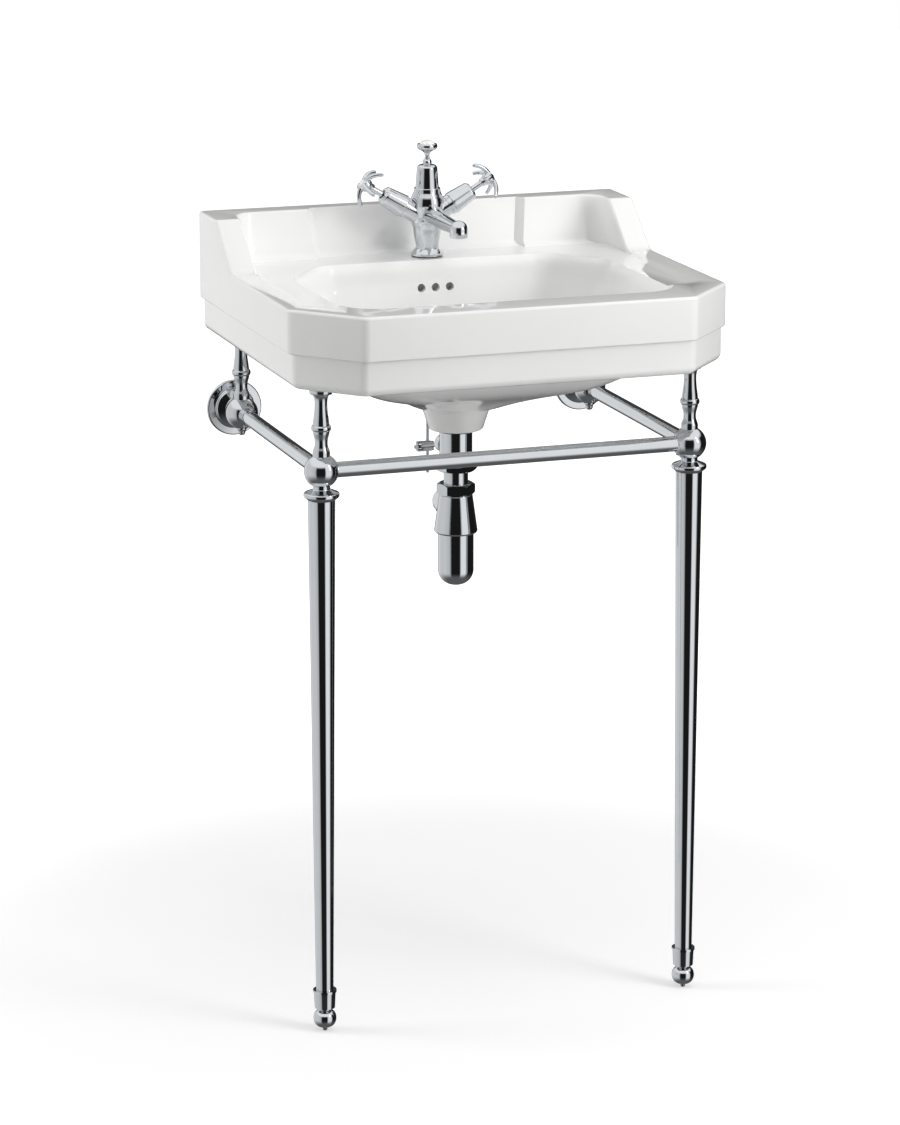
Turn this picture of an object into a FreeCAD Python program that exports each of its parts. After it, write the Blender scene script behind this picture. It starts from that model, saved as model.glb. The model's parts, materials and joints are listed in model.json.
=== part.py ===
import FreeCAD, Part
import math
import os

# A glazed washbasin with a low upstand, standing on a chrome washstand: two turned front legs, three
# rails, four short spindles under the basin and two flanges on the wall behind. A two-handled mixer tap
# with a pop-up waste knob stands on the deck, and a bottle trap hangs under the bowl.
# Millimetres. X to the right, Y towards the wall, Z up from the floor, origin under the middle.

Vector = FreeCAD.Vector
RIGHT = Vector(1, 0, 0)
BACK = Vector(0, 1, 0)
UP = Vector(0, 0, 1)
DOWN = Vector(0, 0, -1)
FULL_TURN = 360

# Fits shared by all pieces
cut_overrun = 5.0
seat_clearance = 0.1
turning_clearance = 0.05
running_gap = 0.3

# Basin: outer form
basin_width = 560.0
basin_depth = 470.0
rim_height = 906.0
upstand_rise = 57.0
skirt_depth = 97.0
step_drop = 54.0
step_inset = 5.5
cant_across = 71.0
cant_back = 78.0
cant_corner_round = 16.0
skirt_edge_round = 10.0
rim_edge_round = 4.0
step_edge_round = 2.0
basin_wall = 12.0

# Basin: upstand, its cheeks and its sunk middle panel
upstand_thickness = 32.0
upstand_lean = 13.0
cheek_thickness = 34.0
cheek_top_reach = 76.0
cheek_foot_reach = 143.0
cheek_nose_round = 9.0
cheek_foot_round = 30.0
cheek_root = 20.0
inner_corner_round = 28.0
upstand_edge_round = 4.0
deck_cove = 12.0
panel_half_width_top = 138.0
panel_half_width_foot = 131.0
panel_jamb = 9.5
panel_sink = 10.0

# Basin: tray round the bowl
tray_drop = 4.0
tray_border = 25.0
tray_slope = 14.0
tray_front_reach = 385.0
tray_corner_round = 20.0

# Basin: bowl
bowl_half_width = 206.0
bowl_rear_half_width = 150.0
bowl_nut_clearance = 0.5
bowl_rear_cant = 70.0
bowl_front_reach = 414.0
bowl_depth = 165.0
bowl_corner_round = 42.0
bowl_lip_flare = 9.0
sump_radius = 42.0
sump_corner_round = 33.0
# Each row: share of the bowl's depth, share of the way in to the sump, share of the lip's flare
bowl_shares = (
    (-0.006, 0.0, 1.0),
    (0.018, 0.0, 0.62),
    (0.045, 0.0, 0.26),
    (0.10, 0.006, 0.0),
    (0.30, 0.05, 0.0),
    (0.50, 0.11, 0.0),
    (0.635, 0.21, 0.0),
    (0.725, 0.36, 0.0),
    (0.81, 0.60, 0.0),
    (0.90, 0.84, 0.0),
    (0.965, 0.95, 0.0),
    (1.0, 1.0, 0.0),
)
# Each row: share of the bowl's depth, share of the way in, share of the wall that lies below the floor
belly_shares = (
    (0.06, 0.0, 0.0),
    (0.30, 0.05, 0.0),
    (0.50, 0.11, 0.1),
    (0.64, 0.21, 0.3),
    (0.74, 0.36, 0.6),
    (0.83, 0.60, 0.8),
    (0.93, 0.86, 1.0),
    (0.985, 0.97, 1.0),
)

# Basin: waste boss, overflow and holes
waste_reach = 187.0
boss_height = 41.0
boss_top_radius = 43.5
boss_foot_radius = 34.0
boss_edge_round = 4.0
waste_bore_radius = 22.0
waste_rebate_depth = 3.0
overflow_hole_radius = 5.25
overflow_pitch = 19.0
overflow_count = 3
overflow_drop = 39.0
duct_half_width = 27.0
duct_depth = 8.0
duct_wall = 5.0
duct_set_back = 6.0
duct_bend_rise = 64.0
duct_foot_reach = 58.0
access_half_width = 185.0
access_rear_reach = 60.0
basin_bolt_half_pitch = 140.0
basin_bolt_radius = 6.0
basin_bolt_drop = 68.0
tap_hole_radius = 17.0

# Tap: body and spout
tap_reach = 74.0
tap_gasket_thickness = 1.5
tap_gasket_lip = 1.5
tap_base_radius = 20.8
tap_column_radius = 18.0
tap_waist_radius = 14.3
tap_base_height = 9.0
tap_waist_height = 11.0
tap_hub_rise = 44.5
tap_hub_radius = 20.0
tap_shank_radius = 15.5
tap_shank_length = 23.0
tap_inlet_radius = 4.6
tap_inlet_depth = 12.0
tap_inlet_offset = 8.7
rod_channel_radius = 3.2
arm_tilt = 31.0
arm_radius = 11.8
arm_length = 33.0
arm_ring_radius = 13.4
arm_ring_length = 5.0
spout_reach = 124.0
spout_rise = 7.5
spout_root_radius = 12.5
spout_radius = 8.2
spout_bore_radius = 4.5
spout_bore_start = 8.5
nozzle_radius = 11.3
nozzle_drop = 5.6
outlet_radius = 11.4
outlet_length = 5.0
outlet_spigot_radius = 8.2
outlet_wall = 2.2
outlet_seat = 3.0
outlet_lip_round = 2.0

# Tap: fixings under the deck
backnut_radius = 20.5
backnut_height = 8.0
backnut_washer_thickness = 2.0
backnut_washer_radius = 19.5

# Tap: valves and handles, measured along each arm from the hub
cartridge_radius = 8.0
cartridge_start = 24.0
cartridge_end = 65.0
shroud_radius = 12.2
shroud_skirt_radius = 14.8
shroud_length = 32.0
shroud_bevel = 3.2
shroud_wall = 2.5
shroud_mouth_radius = 6.0
spindle_radius = 4.0
spindle_start = 34.0
spindle_end = 94.0
handle_start = 85.0
handle_end = 102.0
handle_hub_radius = 8.5
handle_collar_radius = 5.8
handle_collar_length = 5.0
handle_edge_round = 1.2
handle_arm_count = 5
handle_arm_radius = 2.8
handle_arm_root = 5.0
handle_arm_bend = 24.3
handle_arm_sweep = 62.0
handle_tip_radius = 3.0
handle_first_arm = 38.0
index_radius = 5.6
index_depth = 2.0
index_crown = 1.6

# Tap: middle bonnet, pop-up knob and lift rod
bonnet_rise = 38.5
bonnet_flange_radius = 16.8
bonnet_flange_height = 3.5
bonnet_foot_radius = 14.8
bonnet_head_radius = 12.6
bonnet_height = 33.0
bonnet_shoulder_round = 5.0
bonnet_spigot_radius = 9.0
bonnet_spigot_length = 6.0
bead_radius = 5.8
bead_height = 8.0
knob_neck_radius = 3.2
knob_radius = 13.0
knob_height = 19.0
knob_socket_depth = 8.0
knob_dish_radius = 9.6
knob_dish_depth = 4.0
knob_cap_crown = 4.5
lift_rod_radius = 2.0
lift_rod_tail = 35.0

# Waste: flange, tail, plug and lever
waste_flange_radius = 31.0
waste_flange_height = 3.0
waste_seal_thickness = 1.0
waste_thread_radius = 19.0
waste_thread_length = 58.0
waste_throat_radius = 16.5
waste_mouth_radius = 23.0
overflow_slot_height = 12.0
overflow_slot_width = 9.0
overflow_slot_count = 4
spider_width = 5.0
spider_height = 5.0
spider_drop = 30.0
spider_hub_radius = 7.0
waste_washer_thickness = 3.0
waste_washer_radius = 22.5
tail_radius = 20.8
tail_length = 46.5
plug_radius = 20.0
plug_thickness = 5.0
plug_crown = 2.0
plug_stem_radius = 4.0
plug_seal_radius = 1.6
port_turn = 5.0
pivot_drop = 27.0
pivot_reach = 34.0
pivot_ball_radius = 7.2
port_wall = 2.2
port_length = 42.0
pivot_nut_radius = 11.2
pivot_nut_length = 15.0
pivot_nut_lip = 4.0
pivot_nut_dome = 4.0
lever_radius = 2.5
lever_rest_tilt = 14.0
lever_end_tilt = 4.0
lever_tip = 3.0
lever_tail = 16.0
clamp_height = 12.0
clamp_depth = 8.0
clamp_wall = 3.0
clamp_screw_radius = 1.5
clamp_screw_head_radius = 2.6
clamp_screw_head_length = 3.0

# Bottle trap
trap_tube_radius = 15.5
trap_tube_wall = 1.3
trap_tube_engagement = 8.0
trap_tube_drop = 120.0
nut_turn = -15.6
inlet_nut_across = 46.0
inlet_nut_height = 16.0
inlet_nut_lip = 4.0
inlet_seal_height = 3.0
tube_nut_across = 42.5
tube_nut_height = 14.0
tube_nut_lip = 5.0
trap_neck_radius = 18.0
trap_body_drop = 34.5
trap_top_radius = 21.0
trap_skirt_radius = 27.6
trap_body_height = 50.0
trap_skirt_edge = 2.0
trap_wall = 3.0
trap_spigot_radius = 16.0
trap_spigot_wall = 2.0
trap_spigot_reach = 47.0
trap_spigot_root_radius = 18.5
trap_spigot_root_reach = 31.0
trap_spigot_drop = 19.0
cup_radius = 22.6
cup_wall = 2.0
cup_height = 83.0
cup_bottom_round = 19.5
cup_engagement = 15.0
cup_seal_height = 2.0

# Washstand
leg_edge_inset = 43.0
leg_front_inset = 87.0
rear_post_reach = 36.0
ball_height = 706.0
ball_radius = 21.0
rail_radius = 9.5
rail_wall = 1.5
rail_engagement = 9.0
joint_neck_radius = 10.5
joint_collar_radius = 21.6
joint_collar_drop = 29.0
joint_collar_height = 13.0
joint_spigot_length = 22.0
finial_radius = 6.5
finial_height = 8.0
leg_top_radius = 16.5
leg_foot_radius = 10.7
leg_wall = 2.0
foot_height = 53.0
foot_flange_radius = 14.5
foot_flange_height = 3.0
foot_spigot_length = 18.0
peg_radius = 3.0
peg_show = 5.5
peg_length = 22.0
pad_thickness = 2.0
spindle_disc_radius = 13.8
spindle_stud_radius = 5.0
spindle_stud_length = 12.0
flange_radius = 36.0
flange_step_radius = 25.0
flange_edge = 4.0
flange_step = 9.0
flange_hub_radius = 14.0
flange_edge_round = 2.0
flange_wall = 2.0
wall_stub_radius = 8.0
wall_thread_radius = 4.0
wall_thread_depth = 22.0
grub_radius = 2.5
grub_length = 4.6
grub_offset = 15.0

# Turned outlines. Each row: share of the height, share of the largest radius
spindle_shares = (
    (0.0, 0.76), (0.053, 0.72), (0.123, 0.58), (0.175, 0.56), (0.236, 0.60), (0.315, 0.72), (0.35, 0.74),
)
spindle_bead_shares = ((0.354, 0.80), (0.376, 0.86), (0.411, 0.86), (0.433, 0.80))
spindle_upper_shares = (
    (0.4375, 0.73), (0.50, 0.70), (0.60, 0.62), (0.72, 0.56), (0.82, 0.57), (0.88, 0.66), (0.905, 0.76),
)
spindle_disc_shares = ((0.915, 0.97), (0.93, 1.0), (0.985, 1.0), (1.0, 0.95))
foot_shares = (
    (0.10, 0.26), (0.11, 0.52), (0.17, 0.80), (0.27, 0.95), (0.35, 0.965), (0.43, 0.90), (0.51, 0.66),
    (0.545, 0.52), (0.60, 0.53),
)
knob_shares = (
    (0.0, 0.25), (0.14, 0.22), (0.30, 0.27), (0.44, 0.42), (0.54, 0.66), (0.62, 0.88), (0.72, 0.985),
    (0.84, 1.0), (0.93, 0.965), (0.97, 0.90),
)
tap_column_shares = (
    (0.0, 0.80), (0.05, 0.825), (0.11, 0.875), (0.18, 0.935), (0.26, 0.98), (0.35, 1.0), (0.47, 1.03),
    (0.58, 1.10), (0.68, 1.18), (0.76, 1.20), (0.84, 1.16), (0.91, 1.07), (0.96, 0.975), (1.0, 0.935),
)

finial_shares = ((-1.0, 0.0), (-0.85, 0.6), (-0.4, 0.75), (0.0, 1.0))
foot_cup_shares = (0.86, 0.92)
plug_face_shares = ((0.93, 0.0), (0.6, 0.7), (0.0, 1.0))
plug_face_start_share = 0.9
index_crown_shares = (0.707, 0.55)
cap_crown_shares = (0.72, 0.62)
bead_shares = ((0.0, 0.8), (0.35, 1.0), (0.8, 0.8))
half_step_share = 0.5

# Levels and places that follow from the sizes above
wall_y = basin_depth / 2
front_y = -basin_depth / 2
rim_z = rim_height
top_z = rim_z + upstand_rise
deck_z = rim_z - tray_drop
step_z = rim_z - step_drop
underside_z = rim_z - skirt_depth
bowl_floor_z = rim_z - bowl_depth
boss_foot_z = bowl_floor_z - boss_height
tap_y = wall_y - tap_reach
bowl_rear_reach = tap_reach + backnut_radius + basin_wall + bowl_nut_clearance
tap_base_z = deck_z + tap_gasket_thickness
hub_z = tap_base_z + tap_hub_rise
hub_point = Vector(0, tap_y, hub_z)
waste_y = wall_y - waste_reach
waste_point = Vector(0, waste_y, 0)
leg_spread = basin_width / 2 - leg_edge_inset
leg_reach = basin_depth - leg_front_inset
leg_y = wall_y - leg_reach
rear_post_y = wall_y - rear_post_reach
pivot_z = boss_foot_z - pivot_drop
tail_top_z = boss_foot_z - waste_washer_thickness
tail_foot_z = tail_top_z - tail_length
trap_body_z = tail_foot_z - trap_body_drop
trap_foot_z = trap_body_z - trap_body_height
cup_top_z = trap_foot_z + cup_engagement
cup_foot_z = cup_top_z - cup_height
spigot_z = trap_body_z - trap_spigot_drop
bonnet_z = hub_z + bonnet_rise
bead_z = bonnet_z + bonnet_height
knob_z = bead_z + bead_height + running_gap
spindle_foot_z = ball_height + ball_radius
spindle_top_z = underside_z - pad_thickness
collar_z = ball_height - joint_collar_drop
leg_top_z = collar_z - joint_collar_height / 2
shroud_start = arm_length + arm_ring_length
shroud_end = shroud_start + shroud_length
port_axis = Vector(-math.sin(math.radians(port_turn)), math.cos(math.radians(port_turn)), 0)
lever_axis = Vector(math.cos(math.radians(port_turn)), math.sin(math.radians(port_turn)), 0)
pivot_point = waste_point + port_axis * pivot_reach + UP * pivot_z
tap_to_waste = waste_reach - tap_reach
lever_rear_arm = tap_to_waste * math.cos(math.radians(port_turn)) - pivot_reach
lever_side_step = tap_to_waste * math.sin(math.radians(port_turn))
lever_rear_z = pivot_z - lever_rear_arm * math.tan(math.radians(lever_rest_tilt))
lever_front_z = pivot_z + pivot_reach * math.tan(math.radians(lever_rest_tilt))
knob_travel = lever_rear_arm * (
    math.tan(math.radians(lever_rest_tilt)) + math.tan(math.radians(lever_end_tilt))
)
plug_travel = knob_travel * pivot_reach / lever_rear_arm
plug_seat_z = bowl_floor_z - waste_rebate_depth + plug_seal_radius + running_gap
plug_z = plug_seat_z + plug_travel
mirrored_sides = (("left", -1), ("right", 1))
taps = (("hot", -1), ("cold", 1))

pieces = {}


# Shapes that many pieces share

def rounded_outline(corners, rounds):
    """A closed wire through the corners, each one rounded by its own radius."""
    starts = []
    arcs = []
    count = len(corners)
    for index in range(count):
        corner = corners[index]
        before = (corners[index - 1] - corner).normalize()
        after = (corners[(index + 1) % count] - corner).normalize()
        radius = rounds[index]
        if radius == 0:
            starts.append((corner, corner))
            arcs.append(None)
            continue
        half = before.getAngle(after) / 2
        run = radius / math.tan(half)
        middle = corner + (before + after).normalize() * (radius / math.sin(half) - radius)
        ends = (corner + before * run, corner + after * run)
        starts.append(ends)
        arcs.append(Part.Arc(ends[0], middle, ends[1]).toShape())
    edges = []
    for index in range(count):
        if arcs[index] is not None:
            edges.append(arcs[index])
        leaving = starts[index][1]
        arriving = starts[(index + 1) % count][0]
        if not leaving.isEqual(arriving, turning_clearance):
            edges.append(Part.LineSegment(leaving, arriving).toShape())
    return Part.Wire(edges)


def aimed(shape, base, axis):
    """Turns a shape built up the Z axis to point along an axis, with its origin at the base."""
    shape.Placement = FreeCAD.Placement(base, FreeCAD.Rotation(UP, axis))
    return shape


def turned(corners, base, axis=UP, rounds=None):
    """A solid of revolution from (radius, height) corners, which start and end on the axis."""
    points = [Vector(radius, 0, height) for radius, height in corners]
    outline = rounded_outline(points, rounds or [0] * len(points))
    return aimed(Part.Face(outline).revolve(Vector(), UP, FULL_TURN), base, axis)


def turned_runs(runs, base, axis=UP):
    """A solid of revolution whose outline is a chain of smooth runs of (radius, height) points."""
    edges = []
    last = None
    first = runs[0][0]
    for run in runs:
        points = [Vector(radius, 0, height) for radius, height in run]
        if last is not None and last.isEqual(points[0], turning_clearance):
            points[0] = last
        elif last is not None:
            edges.append(Part.LineSegment(last, points[0]).toShape())
        if len(points) > 2:
            curve = Part.BSplineCurve()
            curve.interpolate(points)
            edges.append(curve.toShape())
        else:
            edges.append(Part.LineSegment(points[0], points[1]).toShape())
        last = points[-1]
    start = Vector(first[0], 0, first[1])
    closing = [last, Vector(0, 0, last.z), Vector(0, 0, first[1]), start]
    for leaving, arriving in zip(closing, closing[1:]):
        if not leaving.isEqual(arriving, turning_clearance):
            edges.append(Part.LineSegment(leaving, arriving).toShape())
    return aimed(Part.Face(Part.Wire(edges)).revolve(Vector(), UP, FULL_TURN), base, axis)


def shared_run(shares, radius, height, base_height=0):
    """Points of a run from its shares of a height and of a radius."""
    return [(radius * wide, base_height + height * up) for up, wide in shares]


def cylinder(radius, length, base, axis=UP):
    """A plain cylinder."""
    return Part.makeCylinder(radius, length, base, axis)


def ring(outer, inner, length, base, axis=UP):
    """A plain ring or tube."""
    start = base - axis * cut_overrun
    return cylinder(outer, length, base, axis).cut(cylinder(inner, length + 2 * cut_overrun, start, axis))


def hexagon(across, height, base):
    """An upright hexagonal prism, with its two facing sides across apart."""
    corner = across / math.sqrt(3)
    points = []
    for index in range(6):
        angle = math.radians(60 * index + nut_turn)
        points.append(base + Vector(corner * math.cos(angle), corner * math.sin(angle), 0))
    return Part.Face(Part.makePolygon(points + points[:1])).extrude(UP * height)


def hex_nut(across, height, base):
    """A hexagonal nut with its corners turned off at both faces."""
    corner = across / math.sqrt(3)
    shave = (corner - across / 2) * math.tan(math.radians(30))
    blank = turned(
        [(0, 0), (across / 2, 0), (corner, shave), (corner, height - shave), (across / 2, height),
         (0, height)],
        base,
    )
    return hexagon(across, height, base).common(blank)


def slab(low, high):
    """A box between two corners."""
    size = high - low
    return Part.makeBox(size.x, size.y, size.z, low)


def edges_where(shape, test):
    """The edges of a shape whose middle point passes a test."""
    return [edge for edge in shape.Edges if test(edge.CenterOfMass)]


# Basin

def skirt_outline(inset, rear_inset, height):
    """The basin's plan outline, with canted front corners, drawn in from the sides and the front."""
    side = basin_width / 2 - inset
    front = basin_width / 2 - cant_across
    rear = wall_y - rear_inset
    corners = [
        Vector(-side, rear, height),
        Vector(-side, front_y + cant_back, height),
        Vector(-front, front_y + inset, height),
        Vector(front, front_y + inset, height),
        Vector(side, front_y + cant_back, height),
        Vector(side, rear, height),
    ]
    rounds = [0] + [cant_corner_round] * 4 + [0]
    return rounded_outline(corners, rounds)


def skirt_block(inset, rear_inset, low, high):
    """An upright block of the basin's plan between two heights."""
    return Part.Face(skirt_outline(inset, rear_inset, low)).extrude(UP * (high - low))


def basin_slab():
    """The rim and the skirt, stepped in half way down, with their outer edges rounded."""
    def on_level(height):
        return lambda point: abs(point.z - height) < running_gap and point.y < wall_y - running_gap
    upper = skirt_block(0, 0, step_z, rim_z)
    upper = upper.makeFillet(rim_edge_round, edges_where(upper, on_level(rim_z)))
    upper = upper.makeFillet(step_edge_round, edges_where(upper, on_level(step_z)))
    lower = skirt_block(step_inset, 0, underside_z, step_z)
    lower = lower.makeFillet(skirt_edge_round, edges_where(lower, on_level(underside_z)))
    return upper.fuse(lower)


def tray_cut():
    """The shallow sloped-sided tray round the bowl."""
    def outline(height, out):
        half = basin_width / 2 - tray_border - tray_slope + out
        front = wall_y - tray_front_reach + tray_slope - out
        rear = wall_y - upstand_thickness / 2
        corners = [
            Vector(-half, rear, height), Vector(-half, front, height),
            Vector(half, front, height), Vector(half, rear, height),
        ]
        return rounded_outline(corners, [0, tray_corner_round, tray_corner_round, 0])
    above = 1 + cut_overrun / tray_drop
    return Part.makeLoft(
        [outline(deck_z, 0), outline(deck_z + tray_drop * above, tray_slope * above)], True, True
    )


def panel_profile(sink, top, low):
    """The upstand's side profile: a leaning face that sweeps into the deck with a cove."""
    face_top = wall_y - upstand_thickness + sink
    face_foot = face_top - upstand_lean
    run_out = face_foot - 2 * deck_cove
    lean = upstand_lean / (top_z - deck_z)
    corners = [
        Vector(0, wall_y, low), Vector(0, wall_y, top), Vector(0, face_top + lean * (top - top_z), top),
        Vector(0, face_foot, deck_z), Vector(0, run_out, deck_z), Vector(0, run_out, low),
    ]
    return corners


def upstand():
    """The back panel between its two sloping cheeks, as one solid."""
    root_z = rim_z - cheek_root
    half = basin_width / 2
    lean = upstand_lean / (top_z - deck_z)
    face_top = wall_y - upstand_thickness
    face_root = face_top - lean * (top_z - root_z)
    wire = rounded_outline([
        Vector(-half, wall_y, root_z), Vector(-half, wall_y, top_z), Vector(-half, face_top, top_z),
        Vector(-half, face_root, root_z),
    ], [0] * 4)
    body = Part.Face(wire).extrude(RIGHT * basin_width)
    foot_end = cheek_foot_reach + cheek_foot_round / 2
    for side in (-half, half - cheek_thickness):
        corners = [
            Vector(side, wall_y, root_z), Vector(side, wall_y, top_z),
            Vector(side, wall_y - cheek_top_reach, top_z), Vector(side, wall_y - cheek_foot_reach, rim_z),
            Vector(side, wall_y - foot_end, rim_z), Vector(side, wall_y - foot_end, root_z),
        ]
        outline = rounded_outline(corners, [0, 0, cheek_nose_round, cheek_foot_round, 0, 0])
        body = body.fuse(Part.Face(outline).extrude(RIGHT * cheek_thickness))
    body = body.removeSplitter()
    inner = half - cheek_thickness
    face_middle = (face_top + face_root) / 2

    def inner_corner(point):
        return abs(abs(point.x) - inner) < running_gap and abs(point.y - face_middle) < running_gap
    body = body.makeFillet(inner_corner_round, edges_where(body, inner_corner))

    def top_edge(point):
        return point.z > rim_z + upstand_rise - running_gap and point.y < wall_y - running_gap
    return body.makeFillet(upstand_edge_round, edges_where(body, top_edge))


def panel_cut():
    """The shallow sunk panel in the middle of the upstand, with sloping jambs."""
    high = top_z + cut_overrun
    profile = panel_profile(panel_sink, high, deck_z)
    front = wall_y - cheek_top_reach
    corners = [
        Vector(0, front, high), profile[2], profile[3], Vector(0, front, deck_z),
    ]
    half = basin_width / 2
    region = rounded_outline([corner - RIGHT * half for corner in corners], [0, 0, deck_cove, 0])
    region = Part.Face(region).extrude(RIGHT * basin_width)
    lean = upstand_lean / (top_z - deck_z)
    narrowing = (panel_half_width_top - panel_half_width_foot) / (top_z - deck_z)

    def jamb_outline(depth, grow):
        wide = panel_half_width_top + narrowing * cut_overrun + grow
        narrow = panel_half_width_foot + grow
        head = wall_y - upstand_thickness + depth + lean * cut_overrun
        foot = wall_y - upstand_thickness + depth - upstand_lean
        return Part.makePolygon([
            Vector(-narrow, foot, deck_z), Vector(narrow, foot, deck_z), Vector(wide, head, high),
            Vector(-wide, head, high), Vector(-narrow, foot, deck_z),
        ])
    outlines = [
        jamb_outline(-cheek_top_reach, panel_jamb), jamb_outline(0, panel_jamb), jamb_outline(panel_sink, 0),
    ]
    return region.common(Part.makeLoft(outlines, True, True))


def deck_cove_strip():
    """The cove that joins the deck to the foot of the upstand, from cheek to cheek."""
    inner = basin_width / 2 - cheek_thickness
    profile = panel_profile(0, top_z, rim_z - cheek_root)
    corners = [corner - RIGHT * inner for corner in profile]
    outline = rounded_outline(corners, [0, 0, 0, deck_cove, 0, 0])
    strip = Part.Face(outline).extrude(RIGHT * (2 * inner))
    keep = slab(
        Vector(-inner, front_y, rim_z - cheek_root),
        Vector(inner, wall_y - upstand_thickness, deck_z + 2 * deck_cove),
    )
    return strip.common(keep)


def bowl_section(height, inward, grow):
    """One level of the bowl: its rim outline drawn in towards the sump round the waste, then grown."""
    rear = wall_y - bowl_rear_reach
    front = wall_y - bowl_front_reach
    rim_corners = [
        Vector(-bowl_rear_half_width, rear, 0), Vector(-bowl_half_width, rear - bowl_rear_cant, 0),
        Vector(-bowl_half_width, front, 0), Vector(bowl_half_width, front, 0),
        Vector(bowl_half_width, rear - bowl_rear_cant, 0), Vector(bowl_rear_half_width, rear, 0),
    ]
    sump_turns = (120, 180, 240, 300, 0, 60)
    corners = []
    for corner, turn in zip(rim_corners, sump_turns):
        spoke = Vector(math.cos(math.radians(turn)), math.sin(math.radians(turn)), 0)
        corners.append(corner * (1 - inward) + (waste_point + spoke * sump_radius) * inward)
    grown = []
    count = len(corners)
    for index in range(count):
        corner = corners[index]
        before = (corners[index - 1] - corner).normalize()
        after = (corners[(index + 1) % count] - corner).normalize()
        half = before.getAngle(after) / 2
        grown.append(corner - (before + after).normalize() * (grow / math.sin(half)) + UP * height)
    radius = bowl_corner_round * (1 - inward) + sump_corner_round * inward + grow
    return rounded_outline(grown, [radius] * count)


def bowl_cut():
    """The inside of the bowl, from its flared lip to the flat round the waste."""
    sections = []
    for down, inward, flare in bowl_shares:
        sections.append(bowl_section(rim_z - bowl_depth * down, inward, bowl_lip_flare * flare))
    return Part.makeLoft(sections, True, False)


def bowl_belly():
    """The outside of the bowl, a wall's thickness away from its inside."""
    sections = []
    for down, inward, below in belly_shares:
        height = rim_z - bowl_depth * down - basin_wall * below
        sections.append(bowl_section(height, inward, basin_wall))
    return Part.makeLoft(sections, True, False)


def overflow_duct(wall):
    """The overflow's way down behind the bowl and forward to the waste, grown by a wall."""
    half = duct_half_width + wall
    rear_face = wall_y - bowl_rear_reach + duct_set_back
    top = rim_z - overflow_drop + overflow_hole_radius + wall
    low = boss_foot_z + basin_wall - wall
    high = low + overflow_slot_height + 2 * wall
    bend = bowl_floor_z + duct_bend_rise
    foot = waste_y + duct_foot_reach
    drop = slab(Vector(-half, rear_face - wall, bend), Vector(half, rear_face + duct_depth + wall, top))
    slope = Part.makePolygon([
        Vector(-half / 2, rear_face - wall, bend), Vector(-half / 2, rear_face + duct_depth + wall, bend),
        Vector(-half / 2, foot + duct_depth + wall, low), Vector(-half / 2, foot - wall, low),
        Vector(-half / 2, rear_face - wall, bend),
    ])
    run = slab(Vector(-half / 2, waste_y, low), Vector(half / 2, foot + duct_depth + wall, high))
    return drop.fuse([Part.Face(slope).extrude(RIGHT * half), run])


def make_basin():
    """The whole glazed basin."""
    belly = bowl_belly()
    body = basin_slab().cut(tray_cut())
    body = body.fuse([upstand(), deck_cove_strip()]).cut(panel_cut())
    hollow = skirt_block(step_inset + basin_wall, basin_wall, underside_z + basin_wall, deck_z - basin_wall)
    access = slab(
        Vector(-access_half_width, wall_y - bowl_rear_reach, underside_z - cut_overrun),
        Vector(access_half_width, wall_y - access_rear_reach, underside_z + basin_wall + cut_overrun),
    )
    body = body.cut([hollow.cut(belly), access.cut(belly)])
    boss = turned(
        [(0, 0), (boss_foot_radius, 0), (boss_top_radius, boss_height - basin_wall),
         (0, boss_height - basin_wall)],
        waste_point + UP * boss_foot_z, UP, [0, boss_edge_round, 0, 0],
    )
    body = body.fuse([belly, boss, overflow_duct(duct_wall)])
    bore_length = boss_height + 2 * cut_overrun
    cuts = [
        bowl_cut(),
        overflow_duct(0),
        cylinder(waste_bore_radius, bore_length, waste_point + UP * (boss_foot_z - cut_overrun)),
        cylinder(
            waste_flange_radius + running_gap, waste_rebate_depth + cut_overrun,
            waste_point + UP * (bowl_floor_z - waste_rebate_depth),
        ),
        cylinder(
            tap_hole_radius, basin_wall + 2 * cut_overrun,
            Vector(0, tap_y, deck_z - basin_wall - cut_overrun),
        ),
    ]
    rear_face = wall_y - bowl_rear_reach
    for index in range(overflow_count):
        across = (index - (overflow_count - 1) / 2) * overflow_pitch
        start = Vector(across, rear_face - basin_wall, rim_z - overflow_drop)
        cuts.append(cylinder(overflow_hole_radius, 2 * basin_wall, start, BACK))
    for side in (-1, 1):
        start = Vector(
            side * basin_bolt_half_pitch, wall_y - basin_wall - cut_overrun, rim_z - basin_bolt_drop
        )
        cuts.append(cylinder(basin_bolt_radius, basin_wall + 2 * cut_overrun, start, BACK))
    return body.cut(cuts).removeSplitter()


# Tap

def arm_axis(side):
    """The direction of one of the tap's arms, out and up from the hub."""
    tilt = math.radians(arm_tilt)
    return Vector(side * math.cos(tilt), 0, math.sin(tilt))


def spout_line():
    """The spout's level middle line: where it starts in the hub, and the middle of its ball end."""
    start = hub_point + UP * spout_rise
    return start, start - BACK * spout_reach


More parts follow.
